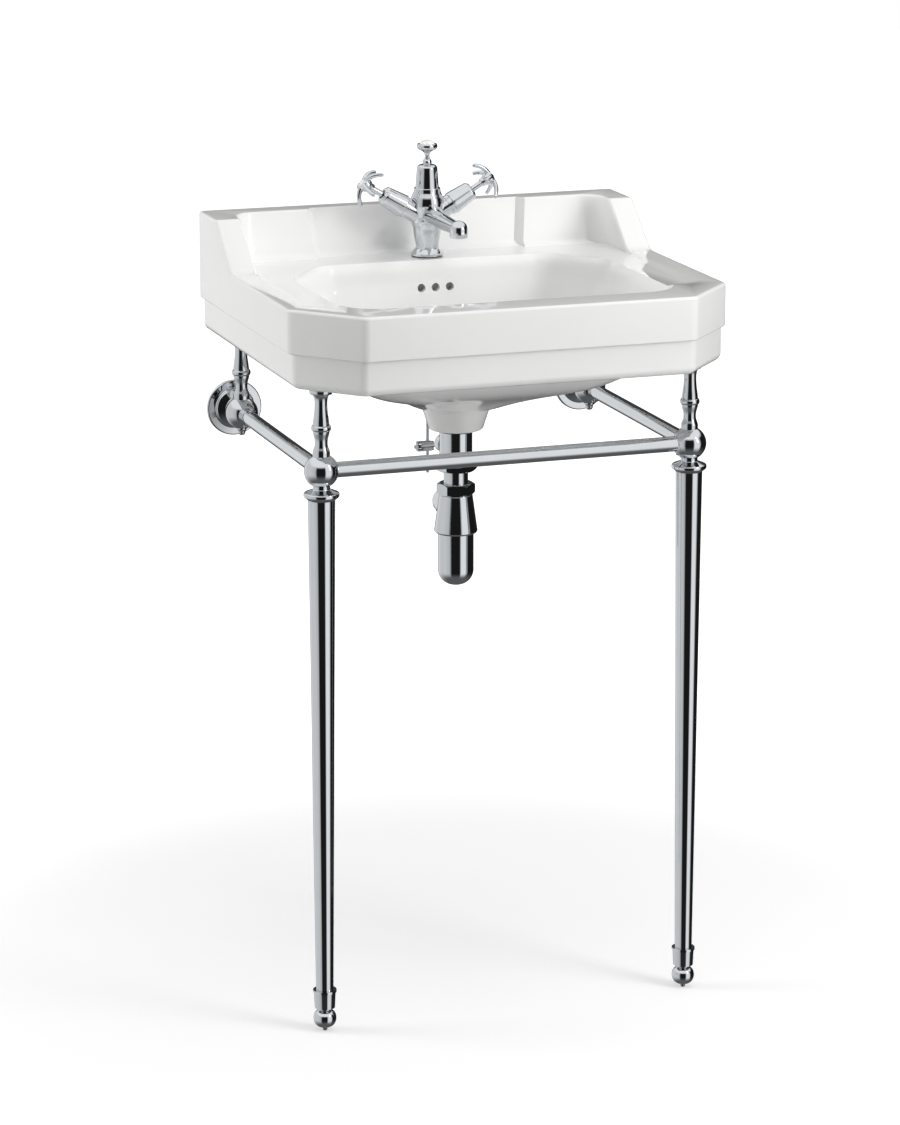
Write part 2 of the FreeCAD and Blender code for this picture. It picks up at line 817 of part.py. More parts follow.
def make_tap_body():
    """The cast body: base, column, hub, two arms, spout and threaded shank, with its channels."""
    base = Vector(0, tap_y, tap_base_z)
    column_height = tap_hub_rise + bonnet_rise - tap_waist_height
    flare = [
        (tap_base_radius, 0), (tap_base_radius, tap_base_height / 4),
    ]
    bell = [
        (tap_base_radius - tap_gasket_lip, tap_base_height / 3),
        ((tap_base_radius + tap_waist_radius) / 2, tap_base_height * 2 / 3),
        (tap_waist_radius + tap_gasket_lip / 2, tap_base_height),
    ]
    waist = [(tap_waist_radius, tap_base_height), (tap_waist_radius, tap_waist_height)]
    column = shared_run(tap_column_shares, tap_column_radius, column_height, tap_waist_height)
    body = turned_runs([flare, bell, waist, column], base)
    hub = Part.makeSphere(tap_hub_radius, hub_point)
    shank = cylinder(tap_shank_radius, tap_shank_length + tap_base_height, base - UP * tap_shank_length)
    start, tip = spout_line()
    nozzle_end = tip - UP * nozzle_drop
    spout = Part.makeCone(spout_root_radius, spout_radius, spout_reach, start, -BACK)
    nose = Part.makeSphere(nozzle_radius, tip)
    nozzle = cylinder(nozzle_radius, nozzle_drop, nozzle_end)
    parts = [hub, shank, spout, nose, nozzle]
    for side in (-1, 1):
        parts.append(cylinder(arm_radius, arm_length, hub_point, arm_axis(side)))
        parts.append(cylinder(
            arm_ring_radius, arm_ring_length, hub_point + arm_axis(side) * arm_length, arm_axis(side)
        ))
    body = body.fuse(parts)
    channel_foot = base - UP * (tap_shank_length + cut_overrun)
    channel_length = tap_shank_length + tap_hub_rise + bonnet_rise + 2 * cut_overrun
    spigot_hole = cylinder(
        bonnet_spigot_radius + seat_clearance, tap_hub_radius,
        Vector(0, tap_y, bonnet_z - bonnet_spigot_length - seat_clearance),
    )
    cuts = [
        cylinder(rod_channel_radius, channel_length, channel_foot),
        spigot_hole,
        cylinder(spout_bore_radius, spout_reach - spout_bore_start, start - BACK * spout_bore_start, -BACK),
        cylinder(spout_bore_radius, nozzle_drop, nozzle_end),
        cylinder(outlet_spigot_radius + seat_clearance, outlet_seat + seat_clearance, nozzle_end),
        cylinder(outlet_radius + running_gap, nozzle_radius, nozzle_end - UP * nozzle_radius),
    ]
    for side in (-1, 1):
        bore = cylinder(
            cartridge_radius + seat_clearance, shroud_end, hub_point + arm_axis(side) * cartridge_start,
            arm_axis(side),
        )
        cuts.append(bore)
        inlet = Vector(0, tap_y + side * tap_inlet_offset, tap_base_z - tap_shank_length)
        cuts.append(cylinder(tap_inlet_radius, tap_inlet_depth, inlet))
    return body.cut(cuts)


def make_tap_outlet():
    """The collar under the spout's ball end, with a rounded lip and a spigot up into the spout."""
    end = spout_line()[1] - UP * nozzle_drop
    blank = turned(
        [(0, -outlet_length), (outlet_radius, -outlet_length), (outlet_radius, 0), (outlet_spigot_radius, 0),
         (outlet_spigot_radius, outlet_seat), (0, outlet_seat)],
        end, UP, [0, outlet_lip_round, 0, 0, 0, 0],
    )
    bore_length = outlet_length + outlet_seat + 2 * cut_overrun
    bore = cylinder(
        outlet_spigot_radius - outlet_wall, bore_length, end - UP * (outlet_length + cut_overrun)
    )
    return blank.cut(bore)


def make_tap_fixings():
    """The gasket over the deck, and the washer and backnut under it."""
    low = deck_z - basin_wall
    place = Vector(0, tap_y, deck_z)
    pieces["tap_gasket"] = ring(
        tap_base_radius - tap_gasket_lip, tap_shank_radius + seat_clearance, tap_gasket_thickness, place
    )
    washer_place = Vector(0, tap_y, low - backnut_washer_thickness)
    bore = tap_shank_radius + seat_clearance
    pieces["tap_backnut_washer"] = ring(backnut_washer_radius, bore, backnut_washer_thickness, washer_place)
    nut_place = washer_place - UP * backnut_height
    nut = hex_nut(2 * backnut_radius * math.cos(math.radians(30)), backnut_height, nut_place)
    bore_cut = cylinder(bore, backnut_height + 2 * cut_overrun, nut_place - UP * cut_overrun)
    pieces["tap_backnut"] = nut.cut(bore_cut)


def make_valve(name, side):
    """One valve: shroud, cartridge, turning spindle, claw handle and its porcelain index."""
    axis = arm_axis(side)
    shroud_bore = cartridge_radius + seat_clearance
    shroud_tip = shroud_radius - shroud_bevel
    shroud = turned(
        [(0, shroud_start), (shroud_skirt_radius, shroud_start), (shroud_radius, shroud_end - shroud_bevel),
         (shroud_tip, shroud_end), (0, shroud_end)],
        hub_point, axis, [0, outlet_lip_round / 2, shroud_wall, shroud_wall / 2, 0],
    )
    shroud_cuts = [
        cylinder(shroud_bore, cartridge_end - shroud_start, hub_point + axis * shroud_start, axis),
        cylinder(shroud_mouth_radius, shroud_length + cut_overrun, hub_point + axis * shroud_start, axis),
    ]
    pieces[name + "_valve_shroud"] = shroud.cut(shroud_cuts)

    cartridge_length = cartridge_end - cartridge_start
    cartridge = cylinder(cartridge_radius, cartridge_length, hub_point + axis * cartridge_start, axis)
    bore = cylinder(
        spindle_radius + turning_clearance, cartridge_end - spindle_start + cut_overrun,
        hub_point + axis * (spindle_start - running_gap), axis,
    )
    pieces[name + "_valve_cartridge"] = cartridge.cut(bore)
    spindle_length = spindle_end - spindle_start
    spindle = cylinder(spindle_radius, spindle_length, hub_point + axis * spindle_start, axis)
    pieces[name + "_valve_spindle"] = spindle

    collar_end = handle_start + handle_collar_length
    hub = turned(
        [(0, handle_start), (handle_collar_radius, handle_start), (handle_collar_radius, collar_end),
         (handle_hub_radius, collar_end + handle_edge_round), (handle_hub_radius, handle_end),
         (0, handle_end)],
        Vector(), UP, [0, handle_edge_round, 0, handle_edge_round, handle_edge_round, 0],
    )
    arm_level = handle_end - handle_arm_radius
    bend_centre = Vector(handle_arm_root, 0, arm_level - handle_arm_bend)
    arm_circle = Part.makeCircle(handle_arm_radius, bend_centre + UP * handle_arm_bend, RIGHT)
    section = Part.Face(Part.Wire(arm_circle))
    arm = section.revolve(bend_centre, BACK, handle_arm_sweep)
    sweep = math.radians(handle_arm_sweep)
    tip = bend_centre + (RIGHT * math.sin(sweep) + UP * math.cos(sweep)) * handle_arm_bend
    knob = Part.makeSphere(handle_tip_radius, tip)
    claw = arm.fuse(knob)
    claws = []
    for index in range(handle_arm_count):
        copy = claw.copy()
        copy.rotate(Vector(), UP, handle_first_arm + FULL_TURN * index / handle_arm_count)
        claws.append(copy)
    handle = hub.fuse(claws)
    socket = cylinder(
        spindle_radius + seat_clearance, spindle_end - handle_start + seat_clearance + cut_overrun,
        UP * (handle_start - cut_overrun),
    )
    dish = cylinder(index_radius + seat_clearance, index_depth + cut_overrun, UP * (handle_end - index_depth))
    pieces[name + "_handle"] = aimed(handle.cut([socket, dish]), hub_point, axis)

    edge = index_depth - seat_clearance
    crown = [
        (index_radius, edge),
        (index_radius * index_crown_shares[0], edge + index_crown * index_crown_shares[1]),
        (0, edge + index_crown),
    ]
    button = turned_runs([[(index_radius, 0), (index_radius, edge)], crown], Vector(), UP)
    pieces[name + "_index_cap"] = aimed(
        button, hub_point + axis * (handle_end - index_depth + seat_clearance), axis
    )


def make_bonnet():
    """The tall bonnet on the hub, with the bead that guides the lift rod."""
    base = Vector(0, tap_y, bonnet_z)
    body = turned(
        [(0, -bonnet_spigot_length), (bonnet_spigot_radius, -bonnet_spigot_length), (bonnet_spigot_radius, 0),
         (bonnet_flange_radius, 0), (bonnet_flange_radius, bonnet_flange_height),
         (bonnet_foot_radius, bonnet_flange_height), (bonnet_head_radius, bonnet_height), (0, bonnet_height)],
        base, UP, [0, 0, 0, 0, bonnet_flange_height / 3, 0, bonnet_shoulder_round, 0],
    )
    bead_run = shared_run(bead_shares, bead_radius, bead_height) + [(knob_neck_radius, bead_height)]
    bead_run[0] = (bead_run[0][0], -seat_clearance)
    bead = turned_runs([bead_run], Vector(0, tap_y, bead_z))
    guide_length = bonnet_spigot_length + bonnet_height + bead_height + 2 * cut_overrun
    guide = cylinder(
        lift_rod_radius + turning_clearance, guide_length, base - UP * (bonnet_spigot_length + cut_overrun)
    )
    return body.fuse(bead).cut(guide)


def make_popup_knob():
    """The pop-up knob, its porcelain button and the long lift rod."""
    base = Vector(0, tap_y, knob_z)
    knob = turned_runs([shared_run(knob_shares, knob_radius, knob_height)], base)
    dish_floor = knob_height * knob_shares[-1][0] - knob_dish_depth
    dish = cylinder(knob_dish_radius + seat_clearance, knob_dish_depth + cut_overrun, base + UP * dish_floor)
    socket = cylinder(
        lift_rod_radius + seat_clearance, knob_socket_depth + cut_overrun, base - UP * cut_overrun
    )
    pieces["popup_knob"] = knob.cut([dish, socket])
    cap_base = base + UP * (dish_floor + seat_clearance)
    crown = [
        (knob_dish_radius, knob_dish_depth),
        (knob_dish_radius * cap_crown_shares[0], knob_dish_depth + knob_cap_crown * cap_crown_shares[1]),
        (0, knob_dish_depth + knob_cap_crown),
    ]
    pieces["popup_knob_cap"] = turned_runs(
        [[(knob_dish_radius, 0), (knob_dish_radius, knob_dish_depth)], crown], cap_base
    )
    rod_foot = lever_rear_z - lift_rod_tail
    rod_top = knob_z + knob_socket_depth - seat_clearance
    pieces["lift_rod"] = cylinder(lift_rod_radius, rod_top - rod_foot, Vector(0, tap_y, rod_foot))


# Waste

def lever_direction():
    """The lever's direction at rest, from the pivot back and down to the lift rod."""
    tilt = math.radians(lever_rest_tilt)
    return port_axis * math.cos(tilt) - UP * math.sin(tilt)


def make_waste_flange():
    """The flange in the bowl with its threaded tube, overflow slots and the spider that guides the plug."""
    low = bowl_floor_z - waste_rebate_depth + waste_seal_thickness
    base = waste_point + UP * low
    blank = turned(
        [(0, -waste_thread_length), (waste_thread_radius, -waste_thread_length), (waste_thread_radius, 0),
         (waste_flange_radius, 0), (waste_flange_radius, waste_flange_height), (0, waste_flange_height)],
        base, UP, [0, 0, 0, 0, waste_flange_height / 2, 0],
    )
    mouth = Part.makeCone(waste_throat_radius, waste_mouth_radius, waste_flange_height, base)
    throat = cylinder(
        waste_throat_radius, waste_thread_length + 2 * cut_overrun,
        base - UP * (waste_thread_length + cut_overrun),
    )
    slots = []
    slot_z = boss_foot_z + basin_wall
    for index in range(overflow_slot_count):
        slot = slab(
            Vector(0, -overflow_slot_width / 2, 0),
            Vector(waste_thread_radius + cut_overrun, overflow_slot_width / 2, overflow_slot_height),
        )
        slot.rotate(Vector(), UP, FULL_TURN / overflow_slot_count * (index + half_step_share))
        slots.append(slot.translated(waste_point + UP * slot_z))
    ring_wall = blank.cut([mouth, throat] + slots)
    spider_z = low - spider_drop
    half = spider_width / 2
    reach = waste_throat_radius + (waste_thread_radius - waste_throat_radius) / 2
    spider_parts = [
        slab(Vector(-reach, -half, 0), Vector(reach, half, spider_height)),
        slab(Vector(-half, -reach, 0), Vector(half, reach, spider_height)),
        cylinder(spider_hub_radius, spider_height, Vector()),
    ]
    spider = spider_parts[0].fuse(spider_parts[1:]).translated(waste_point + UP * spider_z)
    guide = cylinder(
        plug_stem_radius + turning_clearance, spider_height + 2 * cut_overrun,
        waste_point + UP * (spider_z - cut_overrun),
    )
    return ring_wall.fuse(spider.cut(guide))


def make_waste_seals():
    """The seal under the flange, and the washer between the boss and the tail."""
    seal_place = waste_point + UP * (bowl_floor_z - waste_rebate_depth)
    pieces["waste_flange_seal"] = ring(
        waste_flange_radius - running_gap, waste_bore_radius, waste_seal_thickness, seal_place
    )
    pieces["waste_washer"] = ring(
        waste_washer_radius, waste_thread_radius + seat_clearance, waste_washer_thickness,
        waste_point + UP * tail_top_z,
    )


def make_waste_tail():
    """The lower waste body with the lever's port on its rear side."""
    base = waste_point + UP * tail_foot_z
    body = cylinder(tail_radius, tail_length, base)
    pivot_level = waste_point + UP * pivot_z
    port_radius = pivot_ball_radius + running_gap + port_wall
    body = body.fuse(cylinder(port_radius, port_length, pivot_level, port_axis))
    bore = trap_tube_radius + seat_clearance
    thread_bore = waste_thread_radius + seat_clearance
    flange_foot = bowl_floor_z - waste_rebate_depth + waste_seal_thickness - waste_thread_length
    thread_depth = tail_top_z - flange_foot + seat_clearance
    cuts = [
        cylinder(bore, tail_length + 2 * cut_overrun, base - UP * cut_overrun),
        cylinder(thread_bore, thread_depth + cut_overrun, waste_point + UP * (flange_foot - seat_clearance)),
        cylinder(
            pivot_ball_radius + running_gap, port_length + cut_overrun,
            pivot_level + port_axis * (bore / 2), port_axis,
        ),
    ]
    return body.cut(cuts)


def make_pivot():
    """The ball lever that lifts the plug, and the domed nut that holds its ball."""
    direction = lever_direction()
    tilt = math.cos(math.radians(lever_rest_tilt))
    rear = lever_rear_arm / tilt + lever_tail
    front = pivot_reach / tilt + lever_tip
    rod = cylinder(lever_radius, rear + front, pivot_point - direction * front, direction)
    ball = Part.makeSphere(pivot_ball_radius, pivot_point)
    pieces["pivot_lever"] = rod.fuse(ball)

    port_radius = pivot_ball_radius + running_gap + port_wall
    face = port_length + pivot_nut_lip
    start = face - pivot_nut_length
    nut = turned(
        [(0, start), (pivot_nut_radius, start), (pivot_nut_radius, face), (0, face)],
        waste_point + UP * pivot_z, port_axis, [0, running_gap, pivot_nut_dome, 0],
    )
    lever_rise = math.tan(math.radians(lever_rest_tilt)) * (face - pivot_reach)
    opening = lever_rise + lever_radius / tilt + running_gap
    nut_start = waste_point + UP * pivot_z + port_axis * start
    nut_cuts = [
        cylinder(
            port_radius + seat_clearance, port_length - start + seat_clearance, nut_start, port_axis,
        ),
        cylinder(opening, pivot_nut_length + cut_overrun, nut_start, port_axis),
    ]
    pieces["pivot_nut"] = nut.cut(nut_cuts)


def make_rod_clamp():
    """The clamp block that ties the lift rod to the lever, and its two screws."""
    tilt = math.radians(lever_rest_tilt)
    right_face = lift_rod_radius + clamp_wall
    slot_half = lever_radius + running_gap
    left_face = lever_side_step + slot_half + clamp_wall / 2
    middle = Vector(0, tap_y, lever_rear_z)
    block = slab(
        middle - Vector(left_face, clamp_depth / 2, clamp_height / 2),
        middle + Vector(right_face, clamp_depth / 2, clamp_height / 2),
    )
    rod_hole = cylinder(
        lift_rod_radius + seat_clearance, clamp_height + 2 * cut_overrun,
        middle - UP * (clamp_height / 2 + cut_overrun),
    )
    slot_rise = lever_radius / math.cos(tilt) + clamp_depth / 2 * math.tan(tilt) + 2 * running_gap
    slant = math.tan(math.radians(port_turn)) * clamp_depth / 2
    slot = slab(
        middle - Vector(lever_side_step + slot_half + slant, clamp_depth, slot_rise),
        middle - Vector(lever_side_step - slot_half - slant, -clamp_depth, -slot_rise),
    )
    screw_z = clamp_height / 2 - clamp_screw_radius - seat_clearance
    screws = []
    holes = []
    for level in (-screw_z + clamp_screw_radius / 2, screw_z - clamp_screw_radius / 2):
        tip = middle + Vector(lift_rod_radius + seat_clearance, 0, level)
        shank = cylinder(clamp_screw_radius, clamp_wall - seat_clearance, tip, RIGHT)
        head = cylinder(
            clamp_screw_head_radius, clamp_screw_head_length, middle + Vector(right_face, 0, level), RIGHT
        )
        screws.append(shank.fuse(head))
        hole_radius = clamp_screw_radius + seat_clearance
        holes.append(cylinder(hole_radius, right_face + cut_overrun, middle + UP * level, RIGHT))
    pieces["rod_clamp"] = block.cut([rod_hole, slot] + holes)
    pieces["clamp_screws"] = Part.makeCompound(screws)


def make_plug():
    """The pop-up plug on its stem, raised as when the waste is open, and its sealing ring."""
    base = waste_point + UP * plug_z
    groove = plug_radius - plug_seal_radius
    edge = plug_radius - plug_seal_radius / 2
    face = [(plug_radius, plug_thickness / 2)]
    for across, rise in plug_face_shares:
        level = plug_thickness + plug_crown * rise
        if not rise:
            level = plug_thickness * plug_face_start_share
        face.append((plug_radius * across, level))
    disc = turned_runs(
        [[(groove - plug_seal_radius, 0), (edge, plug_thickness / 3)],
         [(edge, plug_thickness / 3), (plug_radius, plug_thickness / 2)], face],
        base,
    )
    tilt = math.cos(math.radians(lever_rest_tilt))
    tip_z = lever_front_z + (plug_stem_radius + lever_radius + running_gap) / tilt
    stem = cylinder(plug_stem_radius, plug_z + plug_thickness / 2 - tip_z, waste_point + UP * tip_z)
    tip = Part.makeSphere(plug_stem_radius, waste_point + UP * tip_z)
    ring_centre = waste_throat_radius - plug_seal_radius - running_gap
    ring_middle = -plug_seal_radius - seat_clearance
    boss_radius = ring_centre - plug_seal_radius - seat_clearance
    boss_drop = 2 * plug_seal_radius
    boss = cylinder(boss_radius, boss_drop + plug_thickness / 3, base - UP * boss_drop)
    pieces["waste_plug"] = disc.fuse([boss, stem, tip])
    seal_circle = Part.makeCircle(plug_seal_radius, Vector(ring_centre, 0, ring_middle), BACK)
    section = Part.Face(Part.Wire(seal_circle))
    seal = section.revolve(Vector(), UP, FULL_TURN)
    pieces["waste_plug_seal"] = seal.translated(base)


# Bottle trap

def make_trap():
    """The bottle trap: inlet nut, dip tube, tube nut, flared body with its rear spigot, and the cup."""
    tail_thread = tail_radius + seat_clearance
    tube_bore = trap_tube_radius + seat_clearance
    nut_foot = tail_foot_z - inlet_nut_lip
    nut_base = waste_point + UP * nut_foot
    seal_place = waste_point + UP * (tail_foot_z - inlet_seal_height)
    nut_cuts = [
        cylinder(tail_thread, inlet_nut_height + cut_overrun, seal_place),
        cylinder(tube_bore, inlet_nut_height + 2 * cut_overrun, nut_base - UP * cut_overrun),
    ]
    pieces["trap_inlet_nut"] = hex_nut(inlet_nut_across, inlet_nut_height, nut_base).cut(nut_cuts)
    pieces["trap_inlet_seal"] = ring(tail_thread - seat_clearance, tube_bore, inlet_seal_height, seal_place)
    tube_top = tail_foot_z + trap_tube_engagement
    tube_foot = tube_top - trap_tube_drop
    pieces["trap_inlet_tube"] = ring(
        trap_tube_radius, trap_tube_radius - trap_tube_wall, trap_tube_drop, waste_point + UP * tube_foot
    )
    neck_height = tube_nut_height - tube_nut_lip
    nut_base = waste_point + UP * trap_body_z
    tube_nut_cuts = [
        cylinder(trap_neck_radius + seat_clearance, neck_height + seat_clearance, nut_base),
        cylinder(tube_bore, tube_nut_height + cut_overrun, nut_base),
    ]
    pieces["trap_tube_nut"] = hex_nut(tube_nut_across, tube_nut_height, nut_base).cut(tube_nut_cuts)

    body = turned(
        [(0, trap_foot_z), (trap_skirt_radius - trap_skirt_edge, trap_foot_z),
         (trap_skirt_radius, trap_foot_z + trap_skirt_edge), (trap_top_radius, trap_body_z),
         (0, trap_body_z)],
        waste_point, UP, [0, 0, trap_skirt_edge, trap_skirt_edge, 0],
    )
    neck = cylinder(trap_neck_radius, neck_height, nut_base)
    spigot_base = waste_point + UP * spigot_z
    spigot_root = cylinder(trap_spigot_root_radius, trap_spigot_root_reach, spigot_base, BACK)
    spigot = cylinder(trap_spigot_radius, trap_spigot_reach, spigot_base, BACK)
    body = body.fuse([neck, spigot_root, spigot])
    thread_bore = cup_radius + running_gap
    ceiling = trap_body_z - trap_wall
    bore_top = cup_top_z + cup_seal_height + running_gap
    inside = turned(
        [(0, trap_foot_z - cut_overrun), (thread_bore, trap_foot_z - cut_overrun), (thread_bore, bore_top),
         (trap_top_radius - trap_wall, ceiling), (0, ceiling)],
        waste_point,
    )
    spigot_bore = cylinder(
        trap_spigot_radius - trap_spigot_wall, trap_spigot_reach + cut_overrun, spigot_base, BACK
    )
    tube_hole_foot = waste_point + UP * (ceiling - cut_overrun)
    tube_hole = cylinder(tube_bore, tube_nut_height + trap_body_height, tube_hole_foot)
    pieces["trap_body"] = body.cut([inside, spigot_bore, tube_hole])

    def cup_form(radius, low, bottom_round):
        return turned(
            [(0, low), (radius, low), (radius, cup_top_z), (0, cup_top_z)],
            waste_point, UP, [0, bottom_round, 0, 0],
        )
    cup = cup_form(cup_radius, cup_foot_z, cup_bottom_round)
    inner = cup_form(cup_radius - cup_wall, cup_foot_z + cup_wall, cup_bottom_round - cup_wall)
    pieces["trap_cup"] = cup.cut(inner)
    pieces["trap_cup_seal"] = ring(
        cup_radius, cup_radius - cup_wall, cup_seal_height, waste_point + UP * cup_top_z
    )


# Washstand

def post_place(side, rear):
    """The middle of one corner ball."""
    return Vector(side * leg_spread, rear_post_y if rear else leg_y, ball_height)


def rail_sockets(side, rear):
    """Bores in a corner ball for the rails and the spindle's stud."""
    middle = post_place(side, rear)
    radius = rail_radius + seat_clearance
    depth = 2 * ball_radius
    start = ball_radius - rail_engagement - seat_clearance
    along = -BACK if rear else BACK
    bores = [
        cylinder(radius, depth, middle + along * start, along),
        cylinder(
            spindle_stud_radius + seat_clearance, depth,
            middle + UP * (ball_radius - spindle_stud_length - seat_clearance),
        ),
        cylinder(
            grub_radius + seat_clearance, ball_radius, middle + along * grub_offset + DOWN * ball_radius
        ),
    ]
    if not rear:
        inward = RIGHT * -side
        bores.append(cylinder(radius, depth, middle + inward * start, inward))
        bores.append(cylinder(
            grub_radius + seat_clearance, ball_radius, middle + inward * grub_offset + DOWN * ball_radius
        ))
    return bores


def make_front_joint(name, side):
    """A front corner ball with the turned collar below it that plugs into the leg."""
    middle = post_place(side, False)
    ball = Part.makeSphere(ball_radius, middle)
    half = joint_collar_height / 2
    collar = turned(
        [(0, -half - joint_spigot_length),
         (leg_top_radius - leg_wall - seat_clearance, -half - joint_spigot_length),
         (leg_top_radius - leg_wall - seat_clearance, -half),
         (leg_top_radius, -half), (joint_collar_radius, -half / 3), (joint_collar_radius, half / 3),
         (joint_neck_radius, half), (joint_neck_radius, joint_collar_drop), (0, joint_collar_drop)],
        Vector(middle.x, middle.y, collar_z), UP,
        [0, 0, 0, 0, half / 3, half / 3, half / 4, 0, 0],
    )
    pieces[name + "_front_joint"] = ball.fuse(collar).cut(rail_sockets(side, False))


def make_rear_joint(name, side):
    """A rear corner ball with a finial below it and a stub back to the wall flange."""
    middle = post_place(side, True)
    ball = Part.makeSphere(ball_radius, middle)
    finial = turned_runs(
        [shared_run(finial_shares, finial_radius, finial_height, -ball_radius),
         [(finial_radius, -ball_radius), (finial_radius, 0)]],
        middle,
    )
    stub = cylinder(wall_stub_radius, rear_post_reach, middle, BACK)
    thread = cylinder(
        wall_thread_radius, wall_thread_depth + cut_overrun,
        middle + BACK * (rear_post_reach - wall_thread_depth), BACK,
    )
    pieces[name + "_rear_joint"] = ball.fuse([finial, stub]).cut(rail_sockets(side, True) + [thread])


def make_spindle(name, side, rear):
    """A turned spindle between a corner ball and the basin, with a stud into the ball."""
    middle = post_place(side, rear)
    base = Vector(middle.x, middle.y, spindle_foot_z)
    height = spindle_top_z - spindle_foot_z
    radius = spindle_disc_radius
    runs = [
        shared_run(spindle_shares, radius, height), shared_run(spindle_bead_shares, radius, height),
        shared_run(spindle_upper_shares, radius, height), shared_run(spindle_disc_shares, radius, height),
    ]
    stud = cylinder(spindle_stud_radius, spindle_stud_length, base - UP * spindle_stud_length)
    over_ball = Part.makeSphere(ball_radius + seat_clearance, middle)
    blank = turned_runs(runs, base)
    seat = blank.fuse(cylinder(
        radius * spindle_shares[0][1], ball_radius / 4, base - UP * (ball_radius / 4)
    )).cut(over_ball)
    pieces[name + "_spindle"] = seat.fuse(stud)


def make_leg(name, side):
    """A tapering leg tube, its turned foot and the levelling peg in the foot."""
    x = side * leg_spread
    height = leg_top_z - foot_height
    base = Vector(x, leg_y, foot_height)
    tube = Part.makeCone(leg_foot_radius, leg_top_radius, height, base)
    bore = Part.makeCone(leg_foot_radius - leg_wall, leg_top_radius - leg_wall, height, base)
    joint_bore = cylinder(leg_top_radius - leg_wall, joint_spigot_length + cut_overrun,
                          Vector(x, leg_y, leg_top_z - joint_spigot_length - cut_overrun))
    shell = tube.cut([bore, joint_bore.common(tube)])
    pieces[name + "_leg"] = shell

    turned_height = foot_height - foot_flange_height
    cup = turned_height * foot_shares[-1][0]
    cup_low, cup_high = foot_cup_shares
    runs = [
        shared_run(foot_shares, foot_flange_radius, turned_height),
        [(foot_flange_radius * cup_low, cup), (foot_flange_radius * cup_high, turned_height)],
        [(foot_flange_radius, turned_height), (foot_flange_radius, foot_height)],
        [(leg_foot_radius - leg_wall - seat_clearance, foot_height),
         (leg_foot_radius - leg_wall - seat_clearance, foot_height + foot_spigot_length)],
    ]
    foot = turned_runs(runs, Vector(x, leg_y, 0))
    peg_bore = cylinder(
        peg_radius + turning_clearance, peg_length + peg_show + cut_overrun, Vector(x, leg_y, 0)
    )
    pieces[name + "_foot"] = foot.cut(peg_bore)
    pieces[name + "_levelling_peg"] = turned(
        [(0, 0), (peg_radius, 0), (peg_radius, peg_length), (0, peg_length)],
        Vector(x, leg_y, 0), UP, [0, peg_radius / 4, 0, 0],
    )


def make_rails():
    """The two side rails and the front rail, hollow, with their ends in the balls."""
    tip = ball_radius - rail_engagement
    for name, side in mirrored_sides:
        start = post_place(side, False) + BACK * tip
        length = leg_reach - rear_post_reach - 2 * tip
        pieces[name + "_side_rail"] = ring(rail_radius, rail_radius - rail_wall, length, start, BACK)
    start = post_place(-1, False) + RIGHT * tip
    pieces["front_rail"] = ring(rail_radius, rail_radius - rail_wall, 2 * (leg_spread - tip), start, RIGHT)


def make_wall_flange(name, side):
    """A stepped round flange, hollow behind, that covers the stub's end on the wall."""
    middle = Vector(side * leg_spread, wall_y, ball_height)
    hub_end = rear_post_reach - math.sqrt(ball_radius ** 2 - flange_hub_radius ** 2) - running_gap
    flange = turned(
        [(0, 0), (flange_radius, 0), (flange_radius, flange_edge), (flange_step_radius, flange_edge),
         (flange_step_radius, flange_step), (flange_hub_radius, flange_step + flange_edge),
         (flange_hub_radius, hub_end), (0, hub_end)],
        middle, -BACK,
        [0, 0, flange_edge_round, flange_edge_round, flange_edge_round, flange_edge_round, 0, 0],
    )
    hollow = turned(
        [(0, 0), (flange_radius - flange_wall, 0), (flange_radius - flange_wall, flange_edge - flange_wall),
         (flange_step_radius - flange_wall, flange_edge - flange_wall),
         (flange_step_radius - flange_wall, flange_step - flange_wall), (0, flange_step - flange_wall)],
        middle, -BACK,
    )
    stub_hole = cylinder(wall_stub_radius + seat_clearance, hub_end + 2 * cut_overrun,
                         middle + BACK * cut_overrun, -BACK)
    over_ball = Part.makeSphere(ball_radius + running_gap, post_place(side, True))
    pieces[name + "_wall_flange"] = flange.cut([hollow, stub_hole, over_ball])


def make_small_parts():
    """Spindle pads and rail grub screws, each a set of like pieces."""
    pads = []
    grubs = []
    for _, side in mirrored_sides:
        for rear in (False, True):
            middle = post_place(side, rear)
            pads.append(cylinder(
                spindle_disc_radius - running_gap, pad_thickness, Vector(middle.x, middle.y, spindle_top_z)
            ))
            ways = [-BACK] if rear else [BACK, RIGHT * -side]
            for way in ways:
                top = middle + way * grub_offset + DOWN * (rail_radius + seat_clearance)
                grubs.append(cylinder(grub_radius, grub_length, top, DOWN))
    pieces["spindle_pads"] = Part.makeCompound(pads)
    pieces["rail_grub_screws"] = Part.makeCompound(grubs)


def build():
    """Makes every piece."""
    pieces["basin"] = make_basin()
    pieces["tap_body"] = make_tap_body()
    pieces["tap_outlet"] = make_tap_outlet()
    make_tap_fixings()
    for name, side in taps:
        make_valve(name, side)
    pieces["centre_bonnet"] = make_bonnet()
    make_popup_knob()
    pieces["waste_flange"] = make_waste_flange()
    make_waste_seals()
    pieces["waste_tail"] = make_waste_tail()
    make_pivot()
    make_rod_clamp()
    make_plug()
    make_trap()
    for name, side in mirrored_sides:
        make_front_joint(name, side)
        make_rear_joint(name, side)
        make_spindle(name + "_front", side, False)
        make_spindle(name + "_rear", side, True)
        make_leg(name, side)
        make_wall_flange(name, side)
    make_rails()
    make_small_parts()


build()
os.makedirs("parts", exist_ok=True)
for piece_name, shape in pieces.items():
    shape.exportStep("parts/" + piece_name + ".step")
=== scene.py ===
"""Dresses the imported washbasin, its chrome washstand, tap, pop-up waste and bottle trap for rendering."""
from __future__ import annotations

import json
import logging
import math
from dataclasses import dataclass
from enum import Enum
from typing import Any

import bmesh
import bpy
from mathutils import Matrix, Vector

